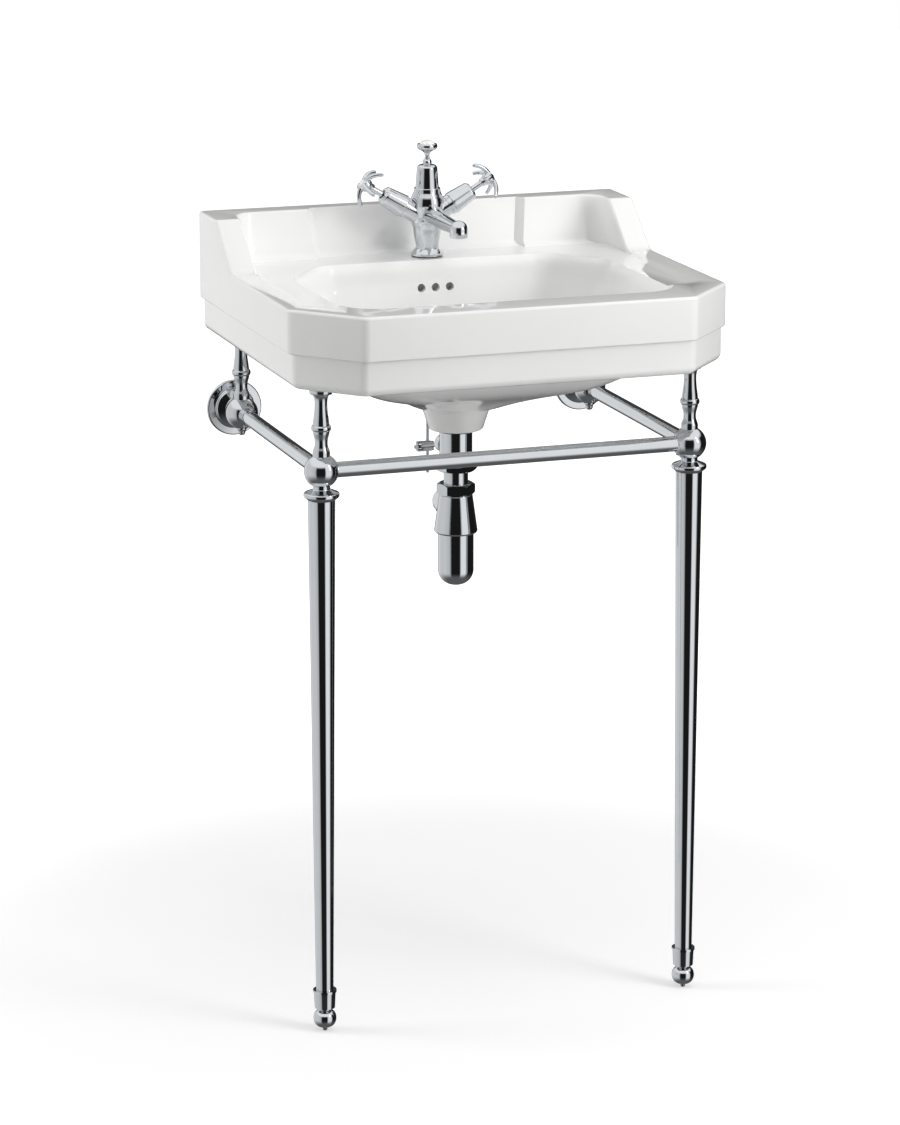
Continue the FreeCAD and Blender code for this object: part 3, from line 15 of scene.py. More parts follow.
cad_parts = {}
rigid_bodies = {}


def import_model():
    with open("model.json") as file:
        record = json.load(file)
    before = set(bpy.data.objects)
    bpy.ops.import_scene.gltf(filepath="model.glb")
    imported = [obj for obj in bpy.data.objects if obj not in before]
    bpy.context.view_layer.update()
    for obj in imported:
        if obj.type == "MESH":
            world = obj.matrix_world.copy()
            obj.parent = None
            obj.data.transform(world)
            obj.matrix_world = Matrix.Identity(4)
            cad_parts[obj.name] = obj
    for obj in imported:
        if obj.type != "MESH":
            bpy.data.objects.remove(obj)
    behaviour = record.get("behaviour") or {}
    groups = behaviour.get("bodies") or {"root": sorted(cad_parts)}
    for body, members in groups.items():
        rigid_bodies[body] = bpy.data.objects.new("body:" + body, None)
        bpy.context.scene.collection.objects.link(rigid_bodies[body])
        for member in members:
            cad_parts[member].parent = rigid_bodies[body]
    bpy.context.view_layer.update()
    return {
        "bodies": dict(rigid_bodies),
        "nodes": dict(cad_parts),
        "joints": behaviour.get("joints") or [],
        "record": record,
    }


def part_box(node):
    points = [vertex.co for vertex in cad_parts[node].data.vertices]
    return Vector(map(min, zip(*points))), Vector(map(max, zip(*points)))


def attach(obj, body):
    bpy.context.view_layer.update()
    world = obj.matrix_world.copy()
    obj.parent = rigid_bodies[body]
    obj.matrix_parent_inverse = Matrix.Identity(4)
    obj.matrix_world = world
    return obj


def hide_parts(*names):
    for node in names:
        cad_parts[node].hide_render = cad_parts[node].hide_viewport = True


LOG = logging.getLogger("washbasin")
MM = 0.001
FRAME_WIDTH_PX = 900
FRAME_HEIGHT_PX = 1125
WHITE = (1.0, 1.0, 1.0, 1.0)
# A colour mix has several sockets of the same name, so its colours and its result go by number
MIX_FIRST = 6
MIX_SECOND = 7
MIX_RESULT = 2
# Points of a turned mesh that are this close are one
SEAM_MM = 0.002


class Finish(Enum):
    """The finishes that the object's pieces can take."""

    GLAZE = "glaze"
    PORCELAIN = "porcelain"
    CHROME = "chrome"
    BRASS = "brass"
    STEEL = "steel"
    RUBBER = "rubber"


def linear(hex_colour: str) -> tuple[float, float, float, float]:
    """Turns an sRGB hex colour into linear light.

    Args:
        hex_colour: A colour written as #RRGGBB.

    Returns:
        The linear red, green and blue, and an alpha of 1.
    """
    channels = []
    for start in (1, 3, 5):
        value = int(hex_colour[start:start + 2], 16) / 255
        channels.append(value / 12.92 if value <= 0.04045 else ((value + 0.055) / 1.055) ** 2.4)
    return channels[0], channels[1], channels[2], 1.0


def add_node(
    tree: bpy.types.NodeTree, kind: str, inputs: dict[Any, Any] | None = None, **settings: Any
) -> bpy.types.Node:
    """Adds a node, sets it up, and fills or links its inputs.

    Args:
        tree: The node tree that gets the node.
        kind: The node's type name.
        inputs: Input names or numbers, each with a value or with another node's output socket.
        **settings: Properties of the node itself.

    Returns:
        The new node.
    """
    node = tree.nodes.new(kind)
    for key, value in settings.items():
        setattr(node, key, value)
    for key, value in (inputs or {}).items():
        if isinstance(value, bpy.types.NodeSocket):
            tree.links.new(value, node.inputs[key])
        else:
            node.inputs[key].default_value = value
    return node


def blank_material(name: str) -> tuple[bpy.types.Material, bpy.types.NodeTree]:
    """Makes a material with an empty node tree.

    Args:
        name: The material's name.

    Returns:
        The material and its tree.
    """
    material = bpy.data.materials.new(name)
    material.use_nodes = True
    material.node_tree.nodes.clear()
    return material, material.node_tree


def noise(
    tree: bpy.types.NodeTree, place: bpy.types.NodeSocket, size_mm: float, detail: float,
    roughness: float = 0.5,
) -> bpy.types.NodeSocket:
    """Adds an uneven pattern to a material.

    Args:
        tree: The material's tree.
        place: Where the pattern is read.
        size_mm: How large its blotches are.
        detail: How many finer layers it has.
        roughness: How strong the finer layers are.

    Returns:
        The pattern's value.
    """
    node = add_node(tree, "ShaderNodeTexNoise", {
        "Vector": place, "Scale": 1 / (size_mm * MM), "Detail": detail, "Roughness": roughness,
    })
    return node.outputs["Fac"]


def blend(
    tree: bpy.types.NodeTree, share: bpy.types.NodeSocket, first: Any, second: Any
) -> bpy.types.NodeSocket:
    """Blends two colours.

    Args:
        tree: The tree that gets the blend.
        share: How much of the second colour shows.
        first: The first colour, or a socket that gives it.
        second: The second colour, or a socket that gives it.

    Returns:
        The blended colour.
    """
    node = add_node(tree, "ShaderNodeMix", {
        "Factor": share, MIX_FIRST: first, MIX_SECOND: second,
    }, data_type="RGBA")
    return node.outputs[MIX_RESULT]


def arithmetic(tree: bpy.types.NodeTree, operation: str, *terms: Any) -> bpy.types.NodeSocket:
    """Adds one step of arithmetic.

    Args:
        tree: The tree that gets the step.
        operation: What it does with its terms.
        *terms: Numbers, or sockets that give them.

    Returns:
        The result.
    """
    return add_node(tree, "ShaderNodeMath", dict(enumerate(terms)), operation=operation).outputs[0]


def bumps(
    tree: bpy.types.NodeTree, pattern: bpy.types.NodeSocket, height_mm: float, strength: float = 1.0
) -> bpy.types.NodeSocket:
    """Turns a pattern into fine relief.

    Args:
        tree: The material's tree.
        pattern: The pattern that stands up.
        height_mm: How high it stands.
        strength: How much of the relief shows.

    Returns:
        The surface's direction.
    """
    node = add_node(tree, "ShaderNodeBump", {
        "Height": pattern, "Distance": height_mm * MM, "Strength": strength,
    })
    return node.outputs["Normal"]


def seen(tree: bpy.types.NodeTree) -> bpy.types.NodeSocket:
    """Tells what the camera sees, straight or through a clear piece, from what only gives light.

    Args:
        tree: The tree that asks.

    Returns:
        1 where the camera sees it, and 0 elsewhere.
    """
    rays = add_node(tree, "ShaderNodeLightPath").outputs
    return arithmetic(tree, "MAXIMUM", rays["Is Camera Ray"], rays["Is Transmission Ray"])


def grey(brightness: float) -> tuple[float, float, float, float]:
    """Returns the linear grey of a brightness."""
    return brightness, brightness, brightness, 1.0


@dataclass(frozen=True)
class VitreousGlaze:
    """White vitreous china: a slip-cast body under a fired glaze, so gloss with a slow, faint ripple."""

    name: str
    colour: str
    shade: str
    roughness: float = 0.06
    cloud_mm: float = 120.0
    cloud_detail: float = 3.0
    ripple_mm: float = 26.0
    ripple_detail: float = 1.0
    ripple_height_mm: float = 0.05
    pin_mm: float = 1.6
    pin_detail: float = 2.0
    pin_roughness: float = 0.03
    refraction: float = 1.52
    coat: float = 0.35
    coat_roughness: float = 0.03

    def material(self) -> bpy.types.Material:
        """Builds the glaze's nodes and returns the material."""
        material, tree = blank_material(self.name)
        place = add_node(tree, "ShaderNodeTexCoord").outputs["Object"]
        cloud = noise(tree, place, self.cloud_mm, self.cloud_detail)
        pins = noise(tree, place, self.pin_mm, self.pin_detail)
        ripple = noise(tree, place, self.ripple_mm, self.ripple_detail)
        least = self.roughness - self.pin_roughness / 2
        shader = add_node(tree, "ShaderNodeBsdfPrincipled", {
            "Base Color": blend(tree, cloud, linear(self.colour), linear(self.shade)),
            "Roughness": arithmetic(tree, "MULTIPLY_ADD", pins, self.pin_roughness, least),
            "Normal": bumps(tree, ripple, self.ripple_height_mm),
            "IOR": self.refraction, "Coat Weight": self.coat, "Coat Roughness": self.coat_roughness,
        })
        add_node(tree, "ShaderNodeOutputMaterial", {"Surface": shader.outputs["BSDF"]})
        return material


@dataclass(frozen=True)
class PolishedChrome:
    """Bright chromium plate over polished brass: a mirror, a little bluish, with a faint polishing haze."""

    name: str
    colour: str
    shade: str
    roughness: float = 0.045
    haze_mm: float = 30.0
    haze_detail: float = 4.0
    haze_layers: float = 0.6
    haze: float = 0.035
    ripple_mm: float = 22.0
    ripple_detail: float = 1.0
    ripple_height_mm: float = 0.012

    def material(self) -> bpy.types.Material:
        """Builds the plate's nodes and returns the material."""
        material, tree = blank_material(self.name)
        place = add_node(tree, "ShaderNodeTexCoord").outputs["Object"]
        haze = noise(tree, place, self.haze_mm, self.haze_detail, self.haze_layers)
        ripple = noise(tree, place, self.ripple_mm, self.ripple_detail)
        least = self.roughness - self.haze / 2
        shader = add_node(tree, "ShaderNodeBsdfPrincipled", {
            "Base Color": blend(tree, haze, linear(self.colour), linear(self.shade)),
            "Roughness": arithmetic(tree, "MULTIPLY_ADD", haze, self.haze, least),
            "Normal": bumps(tree, ripple, self.ripple_height_mm),
            "Metallic": 1.0,
        })
        add_node(tree, "ShaderNodeOutputMaterial", {"Surface": shader.outputs["BSDF"]})
        return material


@dataclass(frozen=True)
class WorkedMetal:
    """A bare metal left as machined: fine tool marks that roughen and dull the shine."""

    name: str
    colour: str
    shade: str
    roughness: float
    mark_mm: float = 0.6
    mark_detail: float = 3.0
    mark_height_mm: float = 0.02
    mark_strength: float = 0.6

    def material(self) -> bpy.types.Material:
        """Builds the metal's nodes and returns the material."""
        material, tree = blank_material(self.name)
        place = add_node(tree, "ShaderNodeTexCoord").outputs["Object"]
        marks = noise(tree, place, self.mark_mm, self.mark_detail)
        shader = add_node(tree, "ShaderNodeBsdfPrincipled", {
            "Base Color": blend(tree, marks, linear(self.colour), linear(self.shade)),
            "Roughness": self.roughness, "Metallic": 1.0,
            "Normal": bumps(tree, marks, self.mark_height_mm, self.mark_strength),
        })
        add_node(tree, "ShaderNodeOutputMaterial", {"Surface": shader.outputs["BSDF"]})
        return material


@dataclass(frozen=True)
class MouldedRubber:
    """Black nitrile rubber as moulded: matt, with a fine even grain."""

    name: str
    colour: str
    shade: str
    roughness: float = 0.6
    grain_mm: float = 0.5
    grain_detail: float = 2.0
    grain_height_mm: float = 0.03
    grain_strength: float = 0.8

    def material(self) -> bpy.types.Material:
        """Builds the rubber's nodes and returns the material."""
        material, tree = blank_material(self.name)
        place = add_node(tree, "ShaderNodeTexCoord").outputs["Object"]
        grain = noise(tree, place, self.grain_mm, self.grain_detail)
        shader = add_node(tree, "ShaderNodeBsdfPrincipled", {
            "Base Color": blend(tree, grain, linear(self.colour), linear(self.shade)),
            "Roughness": self.roughness,
            "Normal": bumps(tree, grain, self.grain_height_mm, self.grain_strength),
        })
        add_node(tree, "ShaderNodeOutputMaterial", {"Surface": shader.outputs["BSDF"]})
        return material


def finish_materials() -> dict[Finish, bpy.types.Material]:
    """Builds every finish once.

    Returns:
        The material of each finish.
    """
    makers = {
        Finish.GLAZE: VitreousGlaze("vitreous_china_glaze", "#F3F3F2", "#EEEEED"),
        Finish.PORCELAIN: VitreousGlaze("porcelain_button", "#F6F4EE", "#F0EEE7", cloud_mm=9.0, ripple_mm=5.0,
                                        ripple_height_mm=0.01, pin_mm=0.7),
        Finish.CHROME: PolishedChrome("polished_chrome_plate", "#DDE0E3", "#D2D6DA"),
        Finish.BRASS: WorkedMetal("turned_brass", "#C9A968", "#B4904F", roughness=0.28),
        Finish.STEEL: WorkedMetal("zinc_plated_steel", "#B9BBBD", "#9DA0A3", roughness=0.34),
        Finish.RUBBER: MouldedRubber("nitrile_rubber", "#1C1C1D", "#2A2A2B"),
    }
    return {finish: maker.material() for finish, maker in makers.items()}


def link_piece(name: str, mesh: bpy.types.Mesh, material: bpy.types.Material) -> bpy.types.Object:
    """Puts a finished mesh into the scene as a piece at the origin.

    Args:
        name: The piece's name.
        mesh: Its mesh, with its place in its points.
        material: The one material that it takes.

    Returns:
        The new object.
    """
    mesh.materials.clear()
    mesh.materials.append(material)
    piece = bpy.data.objects.new(name, mesh)
    bpy.context.scene.collection.objects.link(piece)
    return piece


def shade_by_angle(mesh: bpy.types.Mesh, merge_mm: float, crease_deg: float) -> None:
    """Joins a mesh's loose triangles and shades it smooth apart from its real edges.

    Args:
        mesh: The mesh to change.
        merge_mm: Points this close become one.
        crease_deg: Faces that meet at more than this stay a sharp edge.
    """
    work = bmesh.new()
    work.from_mesh(mesh)
    bmesh.ops.remove_doubles(work, verts=work.verts, dist=merge_mm * MM)
    limit = math.radians(crease_deg)
    for face in work.faces:
        face.smooth = True
    for edge in work.edges:
        edge.smooth = not (len(edge.link_faces) == 2 and edge.calc_face_angle(0.0) > limit)
    work.to_mesh(mesh)
    work.free()


def new_tree(name: str, sizes: dict[str, str]) -> tuple[bpy.types.NodeTree, Any]:
    """Starts a geometry tree that makes a mesh from named sizes.

    Args:
        name: The tree's name.
        sizes: Each input's name and its kind of socket.

    Returns:
        The tree and its inputs, by name.
    """
    tree = bpy.data.node_groups.new(name, "GeometryNodeTree")
    for label, kind in sizes.items():
        tree.interface.new_socket(label, in_out="INPUT", socket_type=kind)
    tree.interface.new_socket("Mesh", in_out="OUTPUT", socket_type="NodeSocketGeometry")
    return tree, add_node(tree, "NodeGroupInput").outputs


def grow(tree: bpy.types.NodeTree, sizes: dict[str, Any]) -> bpy.types.Mesh:
    """Runs a geometry tree and keeps its result as a plain mesh.

    Args:
        tree: The tree to run.
        sizes: A value for each of its inputs.

    Returns:
        The finished mesh.
    """
    holder = bpy.data.objects.new(tree.name, bpy.data.meshes.new(tree.name))
    bpy.context.scene.collection.objects.link(holder)
    modifier = holder.modifiers.new(tree.name, "NODES")
    modifier.node_group = tree
    for item in tree.interface.items_tree:
        if item.in_out == "INPUT":
            modifier[item.identifier] = sizes[item.name]
    evaluated = holder.evaluated_get(bpy.context.evaluated_depsgraph_get())
    mesh = bpy.data.meshes.new_from_object(evaluated)
    holder.modifiers.clear()
    bpy.data.objects.remove(holder)
    return mesh


def turned_mesh(name: str, outline_mm: list[tuple[float, float]], steps: int) -> bpy.types.Mesh:
    """Turns an outline round the Z axis into a closed mesh.

    Args:
        name: The mesh's name.
        outline_mm: Radius and height of each point, from one end on the axis to the other.
        steps: How many steps go round.

    Returns:
        The turned mesh, with its faces outwards.
    """
    work = bmesh.new()
    points = [work.verts.new((radius * MM, 0.0, height * MM)) for radius, height in outline_mm]
    edges = [work.edges.new(pair) for pair in zip(points, points[1:])]
    bmesh.ops.spin(work, geom=points + edges, cent=(0, 0, 0), axis=(0, 0, 1), angle=2 * math.pi, steps=steps)
    bmesh.ops.remove_doubles(work, verts=work.verts, dist=SEAM_MM * MM)
    bmesh.ops.recalc_face_normals(work, faces=work.faces)
    mesh = bpy.data.meshes.new(name)
    work.to_mesh(mesh)
    work.free()
    return mesh


def joined(name: str, meshes: list[bpy.types.Mesh]) -> bpy.types.Mesh:
    """Puts several closed meshes into one, with all faces outwards.

    Args:
        name: The new mesh's name.
        meshes: The meshes to put together.

    Returns:
        The one mesh.
    """
    work = bmesh.new()
    for mesh in meshes:
        work.from_mesh(mesh)
    bmesh.ops.recalc_face_normals(work, faces=work.faces)
    result = bpy.data.meshes.new(name)
    work.to_mesh(result)
    work.free()
    return result


@dataclass
class SubAssembly:
    """A group of pieces of the object that are dressed together."""

    frame: dict[str, Any]
    finishes: dict[Finish, bpy.types.Material]
    merge_mm: float = 0.01
    crease_deg: float = 32.0

    def body_of(self, node: str) -> str:
        """Returns the name of the body that a node belongs to."""
        bodies = self.frame["record"]["behaviour"]["bodies"]
        return next(body for body, nodes in bodies.items() if node in nodes)

    def polish(self, node: str, finish: Finish) -> bpy.types.Object:
        """Stands a smoothly shaded copy of a node in its place.

        Args:
            node: The node's name.
            finish: The finish that the copy takes.

        Returns:
            The copy.
        """
        return self.stand_in(node, self.frame["nodes"][node].data.copy(), finish)

    def stand_in(self, node: str, mesh: bpy.types.Mesh, finish: Finish) -> bpy.types.Object:
        """Stands a mesh in a node's place.

        Args:
            node: The node's name.
            mesh: The mesh that is shown instead, already in its place.
            finish: The finish that it takes.

        Returns:
            The new piece.
        """
        shade_by_angle(mesh, self.merge_mm, self.crease_deg)
        piece = link_piece(node + "_polished", mesh, self.finishes[finish])
        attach(piece, self.body_of(node))
        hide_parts(node)
        LOG.info("%s: %s", node, self.finishes[finish].name)
        return piece

    def joint(self, name: str) -> dict[str, Any]:
        """Returns the record's entry for a joint."""
        return next(item for item in self.frame["record"]["behaviour"]["joints"] if item["name"] == name)

    def paint(self, node: str, finish: Finish) -> None:
        """Gives a node that keeps its own mesh a finish.

        Args:
            node: The node's name.
            finish: The finish that it takes.
        """
        for slot in self.frame["nodes"][node].material_slots:
            slot.material = self.finishes[finish]
        LOG.info("%s: %s", node, self.finishes[finish].name)


@dataclass
class Basin(SubAssembly):
    """The glazed basin."""

    def build(self) -> None:
        """Dresses the basin."""
        self.polish("basin", Finish.GLAZE)


@dataclass
class MixerTap(SubAssembly):
    """The tap on the deck, from its gasket to its handles. Handle heights run along each arm from the hub."""

    sides: tuple[str, ...] = ("hot", "cold")
    claw_count: int = 5
    claw_first_deg: float = 38.0
    claw_root_mm: float = 5.0
    claw_level_mm: float = 99.2
    claw_bend_mm: float = 24.3
    claw_sweep_deg: float = 62.0
    claw_root_radius_mm: float = 3.3
    claw_tip_radius_mm: float = 2.5
    claw_steps: int = 40
    claw_round_steps: int = 20
    claw_seam_mm: float = 0.004
    hub_steps: int = 64
    hub_outline_mm: tuple[tuple[float, float], ...] = (
        (0.0, 94.1), (4.1, 94.1), (4.1, 85.0), (5.3, 85.0), (5.65, 85.15), (5.8, 85.5), (5.8, 88.6),
        (5.95, 89.2), (6.5, 90.0), (7.4, 91.0), (8.1, 92.4), (8.5, 94.2), (8.6, 96.0), (8.5, 98.0),
        (8.1, 99.8), (7.5, 101.0), (6.9, 101.7), (6.4, 102.0), (6.0, 101.95), (5.75, 101.7), (5.7, 101.3),
        (5.7, 100.0), (0.0, 100.0),
    )

    def claw_tree(self) -> bpy.types.NodeTree:
        """Builds the tree that bends one tapering, round-ended claw and sets copies of it round the hub."""
        tree, sizes = new_tree("claw_ring", {
            "Claws": "NodeSocketInt", "First": "NodeSocketFloat", "Root": "NodeSocketFloat",
            "Level": "NodeSocketFloat", "Bend": "NodeSocketFloat", "Sweep": "NodeSocketFloat",
            "Root radius": "NodeSocketFloat", "Tip radius": "NodeSocketFloat", "Plate": "NodeSocketMaterial",
        })
        start = arithmetic(tree, "SUBTRACT", math.pi / 2, sizes["Sweep"])
        arc = add_node(tree, "GeometryNodeCurveArc", {
            "Resolution": self.claw_steps, "Radius": sizes["Bend"], "Start Angle": start,
            "Sweep Angle": sizes["Sweep"],
        }, mode="RADIUS")
        drop = arithmetic(tree, "SUBTRACT", sizes["Level"], sizes["Bend"])
        place = add_node(tree, "ShaderNodeCombineXYZ", {"X": sizes["Root"], "Z": drop})
        stood = add_node(tree, "GeometryNodeTransform", {
            "Geometry": arc.outputs["Curve"], "Translation": place.outputs[0],
            "Rotation": (math.pi / 2, 0.0, 0.0),
        })
        along = add_node(tree, "GeometryNodeSplineParameter").outputs
        taper = add_node(tree, "ShaderNodeMapRange", {
            "Value": along["Factor"], "To Min": sizes["Tip radius"], "To Max": sizes["Root radius"],
        })
        near_tip = add_node(tree, "ShaderNodeMapRange", {
            "Value": along["Length"], "From Max": sizes["Tip radius"], "To Min": 1.0, "To Max": 0.0,
        })
        square = arithmetic(tree, "POWER", near_tip.outputs[0], 2.0)
        rounded = arithmetic(tree, "SQRT", arithmetic(tree, "SUBTRACT", 1.0, square))
        circle = add_node(tree, "GeometryNodeCurvePrimitiveCircle", {
            "Resolution": self.claw_round_steps, "Radius": 1.0,
        })
        claw = add_node(tree, "GeometryNodeCurveToMesh", {
            "Curve": stood.outputs[0], "Profile Curve": circle.outputs["Curve"],
            "Scale": arithmetic(tree, "MULTIPLY", taper.outputs[0], rounded), "Fill Caps": True,
        })
        closed = add_node(tree, "GeometryNodeMergeByDistance", {
            "Geometry": claw.outputs[0], "Distance": self.claw_seam_mm * MM,
        })
        points = add_node(tree, "GeometryNodeMeshLine", {"Count": sizes["Claws"], "Offset": (0.0, 0.0, 0.0)})
        index = add_node(tree, "GeometryNodeInputIndex").outputs[0]
        step = arithmetic(tree, "DIVIDE", 2 * math.pi, sizes["Claws"])
        turn = arithmetic(tree, "MULTIPLY_ADD", index, step, sizes["First"])
        spun = add_node(tree, "FunctionNodeAxisAngleToRotation", {"Axis": (0.0, 0.0, 1.0), "Angle": turn})
        ring = add_node(tree, "GeometryNodeInstanceOnPoints", {
            "Points": points.outputs[0], "Instance": closed.outputs[0], "Rotation": spun.outputs[0],
        })
        solid = add_node(tree, "GeometryNodeRealizeInstances", {"Geometry": ring.outputs[0]})
        plated = add_node(tree, "GeometryNodeSetMaterial", {
            "Geometry": solid.outputs[0], "Material": sizes["Plate"],
        })
        add_node(tree, "NodeGroupOutput", {"Mesh": plated.outputs[0]})
        return tree

    def handle(self, side: str, tree: bpy.types.NodeTree) -> None:
        """Makes one handle, a ball-shaped hub with a ring of claws, on its valve's axis.

        Args:
            side: Which valve it turns.
            tree: The tree that makes the claws.
        """
        claws = grow(tree, {
            "Claws": self.claw_count, "First": math.radians(self.claw_first_deg),
            "Root": self.claw_root_mm * MM, "Level": self.claw_level_mm * MM, "Bend": self.claw_bend_mm * MM,
            "Sweep": math.radians(self.claw_sweep_deg), "Root radius": self.claw_root_radius_mm * MM,
            "Tip radius": self.claw_tip_radius_mm * MM, "Plate": self.finishes[Finish.CHROME],
        })
        hub = turned_mesh(side + "_handle_hub", list(self.hub_outline_mm), self.hub_steps)
        mesh = joined(side + "_claw_handle", [claws, hub])
        joint = self.joint(side + "_handle_turn")
        aim = Vector((0.0, 0.0, 1.0)).rotation_difference(Vector(joint["axis"])).to_matrix().to_4x4()
        mesh.transform(Matrix.Translation(joint["pos_m"]) @ aim)
        self.stand_in(side + "_handle", mesh, Finish.CHROME)

    def build(self) -> None:
        """Dresses the tap's body, its fixings and both valves."""
        for node in ("tap_body", "tap_outlet", "centre_bonnet"):
            self.polish(node, Finish.CHROME)
        self.paint("tap_gasket", Finish.RUBBER)
        self.paint("tap_backnut_washer", Finish.RUBBER)
        self.polish("tap_backnut", Finish.BRASS)
        claws = self.claw_tree()
        for side in self.sides:
            self.polish(side + "_valve_shroud", Finish.CHROME)
            self.polish(side + "_valve_spindle", Finish.CHROME)
            self.paint(side + "_valve_cartridge", Finish.BRASS)
            self.handle(side, claws)
            self.polish(side + "_index_cap", Finish.PORCELAIN)


@dataclass
class PopUpWaste(SubAssembly):
    """The pop-up knob, its rods, the plug and the waste under the bowl."""

    def build(self) -> None:
        """Dresses the pop-up gear and the waste."""
        for node in ("popup_knob", "lift_rod", "waste_flange", "waste_tail", "waste_plug", "pivot_nut"):
            self.polish(node, Finish.CHROME)
        self.polish("popup_knob_cap", Finish.PORCELAIN)
        for node in ("rod_clamp", "clamp_screws", "pivot_lever"):
            self.polish(node, Finish.STEEL)
        for node in ("waste_flange_seal", "waste_washer", "waste_plug_seal"):
            self.polish(node, Finish.RUBBER)


@dataclass
class BottleTrap(SubAssembly):
    """The bottle trap under the waste."""

    def build(self) -> None:
        """Dresses the trap."""
        for node in ("trap_inlet_nut", "trap_inlet_tube", "trap_tube_nut", "trap_body", "trap_cup"):
            self.polish(node, Finish.CHROME)
        for node in ("trap_inlet_seal", "trap_cup_seal"):
            self.paint(node, Finish.RUBBER)


@dataclass
class Washstand(SubAssembly):
    """The chrome stand: legs, feet, joints, spindles, rails and wall flanges."""

    sides: tuple[str, ...] = ("left", "right")
    peg_core_mm: float = 2.62
    thread_depth_mm: float = 0.38
    thread_pitch_mm: float = 1.0
    thread_start_mm: float = 1.0
    thread_length_mm: float = 20.0
    thread_steps: int = 28
    ridge_steps: int = 6
    peg_steps: int = 40
    peg_outline_mm: tuple[tuple[float, float], ...] = (
        (0.0, 0.0), (1.9, 0.0), (2.45, 0.3), (2.62, 0.8), (2.62, 21.6), (2.2, 22.0), (0.0, 22.0),
    )

    def thread_tree(self) -> bpy.types.NodeTree:
        """Builds the tree that winds a screw thread up a peg."""
        tree, sizes = new_tree("peg_thread", {
            "Turns": "NodeSocketFloat", "Core": "NodeSocketFloat", "Depth": "NodeSocketFloat",
            "Height": "NodeSocketFloat", "Metal": "NodeSocketMaterial",
        })
        path = add_node(tree, "GeometryNodeCurveSpiral", {
            "Resolution": self.thread_steps, "Rotations": sizes["Turns"], "Start Radius": sizes["Core"],
            "End Radius": sizes["Core"], "Height": sizes["Height"],
        })
        ridge = add_node(tree, "GeometryNodeCurvePrimitiveCircle", {
            "Resolution": self.ridge_steps, "Radius": 1.0,
        })
        wound = add_node(tree, "GeometryNodeCurveToMesh", {
            "Curve": path.outputs[0], "Profile Curve": ridge.outputs["Curve"], "Scale": sizes["Depth"],
            "Fill Caps": True,
        })
        solid = add_node(tree, "GeometryNodeRealizeInstances", {"Geometry": wound.outputs[0]})
        plated = add_node(tree, "GeometryNodeSetMaterial", {
            "Geometry": solid.outputs[0], "Material": sizes["Metal"],
        })
        add_node(tree, "NodeGroupOutput", {"Mesh": plated.outputs[0]})
        return tree

    def peg(self, side: str, tree: bpy.types.NodeTree) -> None:
        """Makes one threaded levelling peg under its foot.

        Args:
            side: Which leg it stands under.
            tree: The tree that winds the thread.
        """
        node = side + "_levelling_peg"
        thread = grow(tree, {
            "Turns": self.thread_length_mm / self.thread_pitch_mm, "Core": self.peg_core_mm * MM,
            "Depth": self.thread_depth_mm * MM, "Height": self.thread_length_mm * MM,
            "Metal": self.finishes[Finish.STEEL],
        })
        thread.transform(Matrix.Translation((0.0, 0.0, self.thread_start_mm * MM)))
        core = turned_mesh(node + "_core", list(self.peg_outline_mm), self.peg_steps)
        mesh = joined(node + "_screw", [core, thread])
        low, high = (Vector(corner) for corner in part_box(node))
        middle = (low + high) / 2
        mesh.transform(Matrix.Translation((middle.x, middle.y, low.z)))
        self.stand_in(node, mesh, Finish.STEEL)

    def build(self) -> None:
        """Dresses the stand."""
        thread = self.thread_tree()
        for side in self.sides:
            for part in ("leg", "foot", "front_joint", "rear_joint", "front_spindle", "rear_spindle",
                         "side_rail", "wall_flange"):
                self.polish(side + "_" + part, Finish.CHROME)
            self.peg(side, thread)
        self.polish("front_rail", Finish.CHROME)
        self.paint("rail_grub_screws", Finish.STEEL)
        self.paint("spindle_pads", Finish.RUBBER)


@dataclass(frozen=True)
class RoomTone:
    """How bright the room is in one direction, counted from the camera towards the picture's right."""

    turn_deg: float
    brightness: float


@dataclass(frozen=True)
class SoftBox:
    """A soft lamp that faces the basin. Its turn is counted from the basin's front towards its right."""

    name: str
    turn_deg: float
    height_m: float
    away_m: float
    width_m: float
    tall_m: float
    watts: float
    mirrored: bool = False


